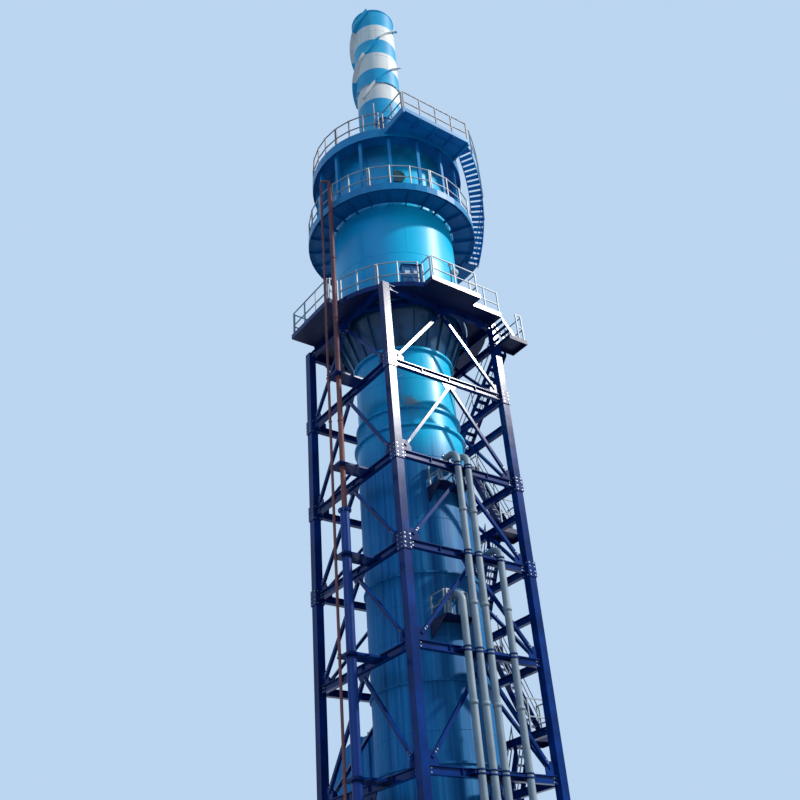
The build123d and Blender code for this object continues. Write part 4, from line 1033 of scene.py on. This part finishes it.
def add_deck_joists():
    """Flat bars under the roof's wing, and a hoop under the ring deck."""
    under = ROOF_UNDERSIDE - 0.02
    wing = [((x, -2.14, under), TO_STAIRS) for x in WING_BARS]
    add_plates("wing_joists", wing, ROOF_DECK, 0.01, 0.39, 0.04)
    cross = [((WING_BARS[1], -2.13, under), TO_DUCT)]
    add_plates("wing_cross_bar", cross, ROOF_DECK, 0.01, 1.94, 0.04)
    hoop = stacked(0, 0, [RING_DECK_TOP - 0.035])
    add_bands("ring_deck_hoop", hoop, DECK, 1.98, 0.03, 0.01, SHELL_SIDES)


def add_post_feet():
    """Foot and head plates of the posts that carry the roof, and the bolts of the foot plates."""
    spots = []
    bolts = []
    for post in range(ROOF_POSTS):
        azimuth = ROOF_POST_START + 360 * post / ROOF_POSTS
        for height in (RING_DECK_TOP + POST_PLATE / 2, ROOF_UNDERSIDE - POST_PLATE / 2):
            spots.append((polar(ROOF_POST_CIRCLE, azimuth, height), aim(azimuth)))
        for hand in HANDS:
            base = polar(ROOF_POST_CIRCLE, azimuth, RING_DECK_TOP + POST_PLATE)
            bolts.append((moved(base, (aim(azimuth + 90), hand * POST_BOLT_SHIFT)), UP))
    add_plates("post_plates", spots, TRIM, 0.1, 0.15, POST_PLATE)
    add_bolts("bolts_posts", bolts, RISER_BOLT)


def add_duct_ribs():
    """Stiffening frames round the inlet duct, and the bolts of its flange."""
    side = DUCT_WIDTH / 2 + DUCT_RIB / 2
    face = DUCT_HEIGHT / 2 + DUCT_RIB / 2
    whole = DUCT_HEIGHT + 2 * DUCT_RIB
    run = list(product(RUN_RIBS, HANDS))
    drop = list(product(DROP_RIBS, HANDS))
    spots = [((hand * side, y, DUCT_AXIS), TO_STAIRS) for y, hand in run]
    add_plates("duct_ribs_run", spots, VESSEL, DUCT_RIB, DUCT_RIB_PLATE, whole)
    spots = [((0, y, DUCT_AXIS + hand * face), TO_DUCT) for y, hand in run]
    add_plates("duct_ribs_flat", spots, VESSEL, DUCT_RIB_PLATE, DUCT_WIDTH, DUCT_RIB)
    spots = [((hand * side, DUCT_DROP_Y, height), TO_STAIRS) for height, hand in drop]
    add_plates("duct_ribs_drop", spots, VESSEL, DUCT_RIB, whole, DUCT_RIB_PLATE)
    spots = [((0, DUCT_DROP_Y + hand * face, height), TO_DUCT) for height, hand in drop]
    add_plates("duct_ribs_face", spots, VESSEL, DUCT_RIB, DUCT_WIDTH, DUCT_RIB_PLATE)
    bolts = []
    for step, hand in product(range(7), HANDS):
        y = DUCT_DROP_Y + hand * DUCT_BOLTS_Y
        bolts.append((((step - 3) * DUCT_BOLT_STEP, y, DUCT_FLANGE_TOP), UP))
    for step, hand in product(range(8), HANDS):
        y = DUCT_DROP_Y + (step - 3.5) * DUCT_BOLT_STEP
        bolts.append(((hand * DUCT_BOLTS_X, y, DUCT_FLANGE_TOP), UP))
    add_bolts("bolts_duct", bolts)


def add_manhole_bolts():
    """Bolts round the lid of the body's manhole."""
    outward = aim(MANHOLE_AZIMUTH)
    sideways = aim(MANHOLE_AZIMUTH + 90)
    centre = polar(MANHOLE_FACE, MANHOLE_AZIMUTH, MANHOLE_HEIGHT)
    spots = circle(centre, MANHOLE_BOLT_CIRCLE, 12, outward, 15, sideways, UP)
    add_bolts("bolts_manhole", spots, LID_BOLT)


def add_chamber_fittings():
    """Lid bolts and two bands on each insulator chamber."""
    bolts = []
    hoops = []
    for chamber in range(CHAMBERS):
        azimuth = CHAMBER_START + 360 / CHAMBERS * chamber
        lid = polar(CHAMBER_CIRCLE, azimuth, CHAMBER_LID_TOP)
        bolts += circle(lid, CHAMBER_RADIUS + 0.005, 10, UP)
        hoops += stacked(*lid[:2], CHAMBER_BANDS)
    add_bolts("bolts_chambers", bolts, CHAMBER_BOLT)
    add_bands("chamber_hoops", hoops, TRIM, CHAMBER_RADIUS, 0.03, 0.008)


def add_cabinet_front():
    """Two windows, the door's frame, its handle and the hood on the control cabinet."""
    outward = aim(CABINET_AZIMUTH)
    sideways = aim(CABINET_AZIMUTH + 90)
    front = CABINET_CIRCLE + CABINET_DEPTH / 2
    # Each row: piece, finish, places as (across, height, out), and thickness, breadth and height
    for name, finish, places, sizes in (
        ("panes", PANE, [(x, 0.5, 0.004) for x in (-0.1, 0.1)], (0.008, 0.12, 0.12)),
        ("stiles", CABINET, [(x, 0.36, 0.006) for x in (-0.205, 0.0, 0.205)], (0.012, 0.02, 0.66)),
        ("rails", CABINET, [(0.0, z, 0.006) for z in (0.04, 0.38, 0.68)], (0.012, 0.39, 0.02)),
        ("handle", BOLT, [(0.03, 0.3, 0.018)], (0.012, 0.012, 0.09)),
        ("hood", CABINET, [(0.0, 0.726, -0.08)], (0.24, 0.48, 0.012)),
    ):
        spots = []
        for across, height, out in places:
            foot = (0, 0, TOP_DECK_TOP + height)
            spots.append((moved(foot, (outward, front + out), (sideways, across)), outward))
        add_plates(f"cabinet_{name}", spots, finish, *sizes)


def add_deck_lamps():
    """Two lamps on posts behind the railing of the top deck's front bay."""
    for name, x, top, radius in DECK_LAMPS:
        sizes = {"Radius": radius, "Collar": radius * 0.5}
        GLOBES.make(name, [((x, LAMP_Y, top), UP)], PANE, sizes)
        tall = top - TOP_DECK_TOP
        post = [((x, LAMP_Y, TOP_DECK_TOP + tall / 2 - 0.005), TO_PIPES)]
        add_plates(f"{name}_post", post, RAIL, LAMP_POST, LAMP_POST, tall + 0.01)
        foot = [((x, LAMP_Y, TOP_DECK_TOP + 0.004), TO_PIPES)]
        add_plates(f"{name}_foot", foot, RAIL, LAMP_FOOT, LAMP_FOOT, 0.01)


add_frame_bolts()
add_splices()
add_beam_stiffeners()
add_vessel_bolts()
add_weld_beads()
add_upright_welds()
add_pipe_fittings()
add_riser_fittings()
add_deck_joists()
add_post_feet()
add_duct_ribs()
add_manhole_bolts()
add_chamber_fittings()
add_cabinet_front()
add_deck_lamps()


# Stage: floor, background, lamps and camera


def floor_finish():
    """Pale to the camera and in reflections; duller in the light that it throws back up."""
    finish = Finish("floor_finish")
    finish.set("Base Color", finish.mix(seen_directly(finish.tree), FLOOR_UNSEEN, FLOOR_SEEN))
    finish.set("Roughness", 0.9)
    return finish.material


def make_floor():
    """A wide plain floor at ground level."""
    mesh = bpy.data.meshes.new("floor")
    signs = ((-1, -1), (1, -1), (1, 1), (-1, 1))
    corners = [(x * FLOOR_REACH, y * FLOOR_REACH, 0) for x, y in signs]
    mesh.from_pydata(corners, [], [(0, 1, 2, 3)])
    mesh.materials.append(floor_finish())
    floor = bpy.data.objects.new("floor", mesh)
    bpy.context.collection.objects.link(floor)


def light_world():
    """A pale background to the camera, and a softer sky that lights the object."""
    world = bpy.data.worlds.new("studio")
    bpy.context.scene.world = world
    world.use_nodes = True
    tree = world.node_tree
    tree.nodes.clear()
    kind = "ShaderNodeBackground"
    shown = add_node(tree, kind, inputs={"Color": BACKGROUND, "Strength": 1.0})["Background"]
    lit = add_node(tree, kind, inputs={"Color": SKY, "Strength": SKY_STRENGTH})["Background"]
    inputs = {"Fac": seen_directly(tree), 1: lit, 2: shown}
    mixed = add_node(tree, "ShaderNodeMixShader", inputs=inputs)["Shader"]
    add_node(tree, "ShaderNodeOutputWorld", inputs={"Surface": mixed})


def add_lamp(name, azimuth, elevation, strength, colour, angle):
    """A distant lamp, given by where its light comes from."""
    data = bpy.data.lights.new(name, "SUN")
    data.energy = strength
    data.color = colour
    data.angle = radians(angle)
    lamp = bpy.data.objects.new(name, data)
    towards = Vector(polar(cos(radians(elevation)), azimuth, sin(radians(elevation))))
    lamp.rotation_euler = towards.to_track_quat("Z", "Y").to_euler()
    lamp.location = towards * LAMP_DISTANCE
    bpy.context.collection.objects.link(lamp)


def add_camera():
    """The photograph's own view."""
    level_right = Vector(aim(RIGHT_AZIMUTH))
    level_ahead = Vector(aim(RIGHT_AZIMUTH + 90))
    pitch, yaw, roll = radians(PITCH), radians(YAW), radians(ROLL)
    ahead = (level_right * sin(yaw) + level_ahead * cos(yaw)) * cos(pitch) + Vector(UP) * sin(pitch)
    right = level_right * cos(yaw) - level_ahead * sin(yaw)
    up = right.cross(ahead)
    rolled_right = right * cos(roll) + up * sin(roll)
    rolled_up = up * cos(roll) - right * sin(roll)
    data = bpy.data.cameras.new("photo_view")
    data.sensor_width = SENSOR_WIDTH
    data.lens = FOCAL_PIXELS / IMAGE_SIZE * SENSOR_WIDTH
    data.clip_end = CLIP_END
    camera = bpy.data.objects.new("photo_view", data)
    turned = Matrix((rolled_right, rolled_up, -ahead)).transposed().to_4x4()
    stand = Vector(UP) * CAMERA_HEIGHT - level_ahead * CAMERA_DISTANCE
    camera.matrix_world = Matrix.Translation(stand) @ turned
    bpy.context.collection.objects.link(camera)
    bpy.context.scene.camera = camera


make_floor()
light_world()
for lamp in LAMPS:
    add_lamp(*lamp)
add_camera()
bpy.context.scene.view_settings.view_transform = "Standard"
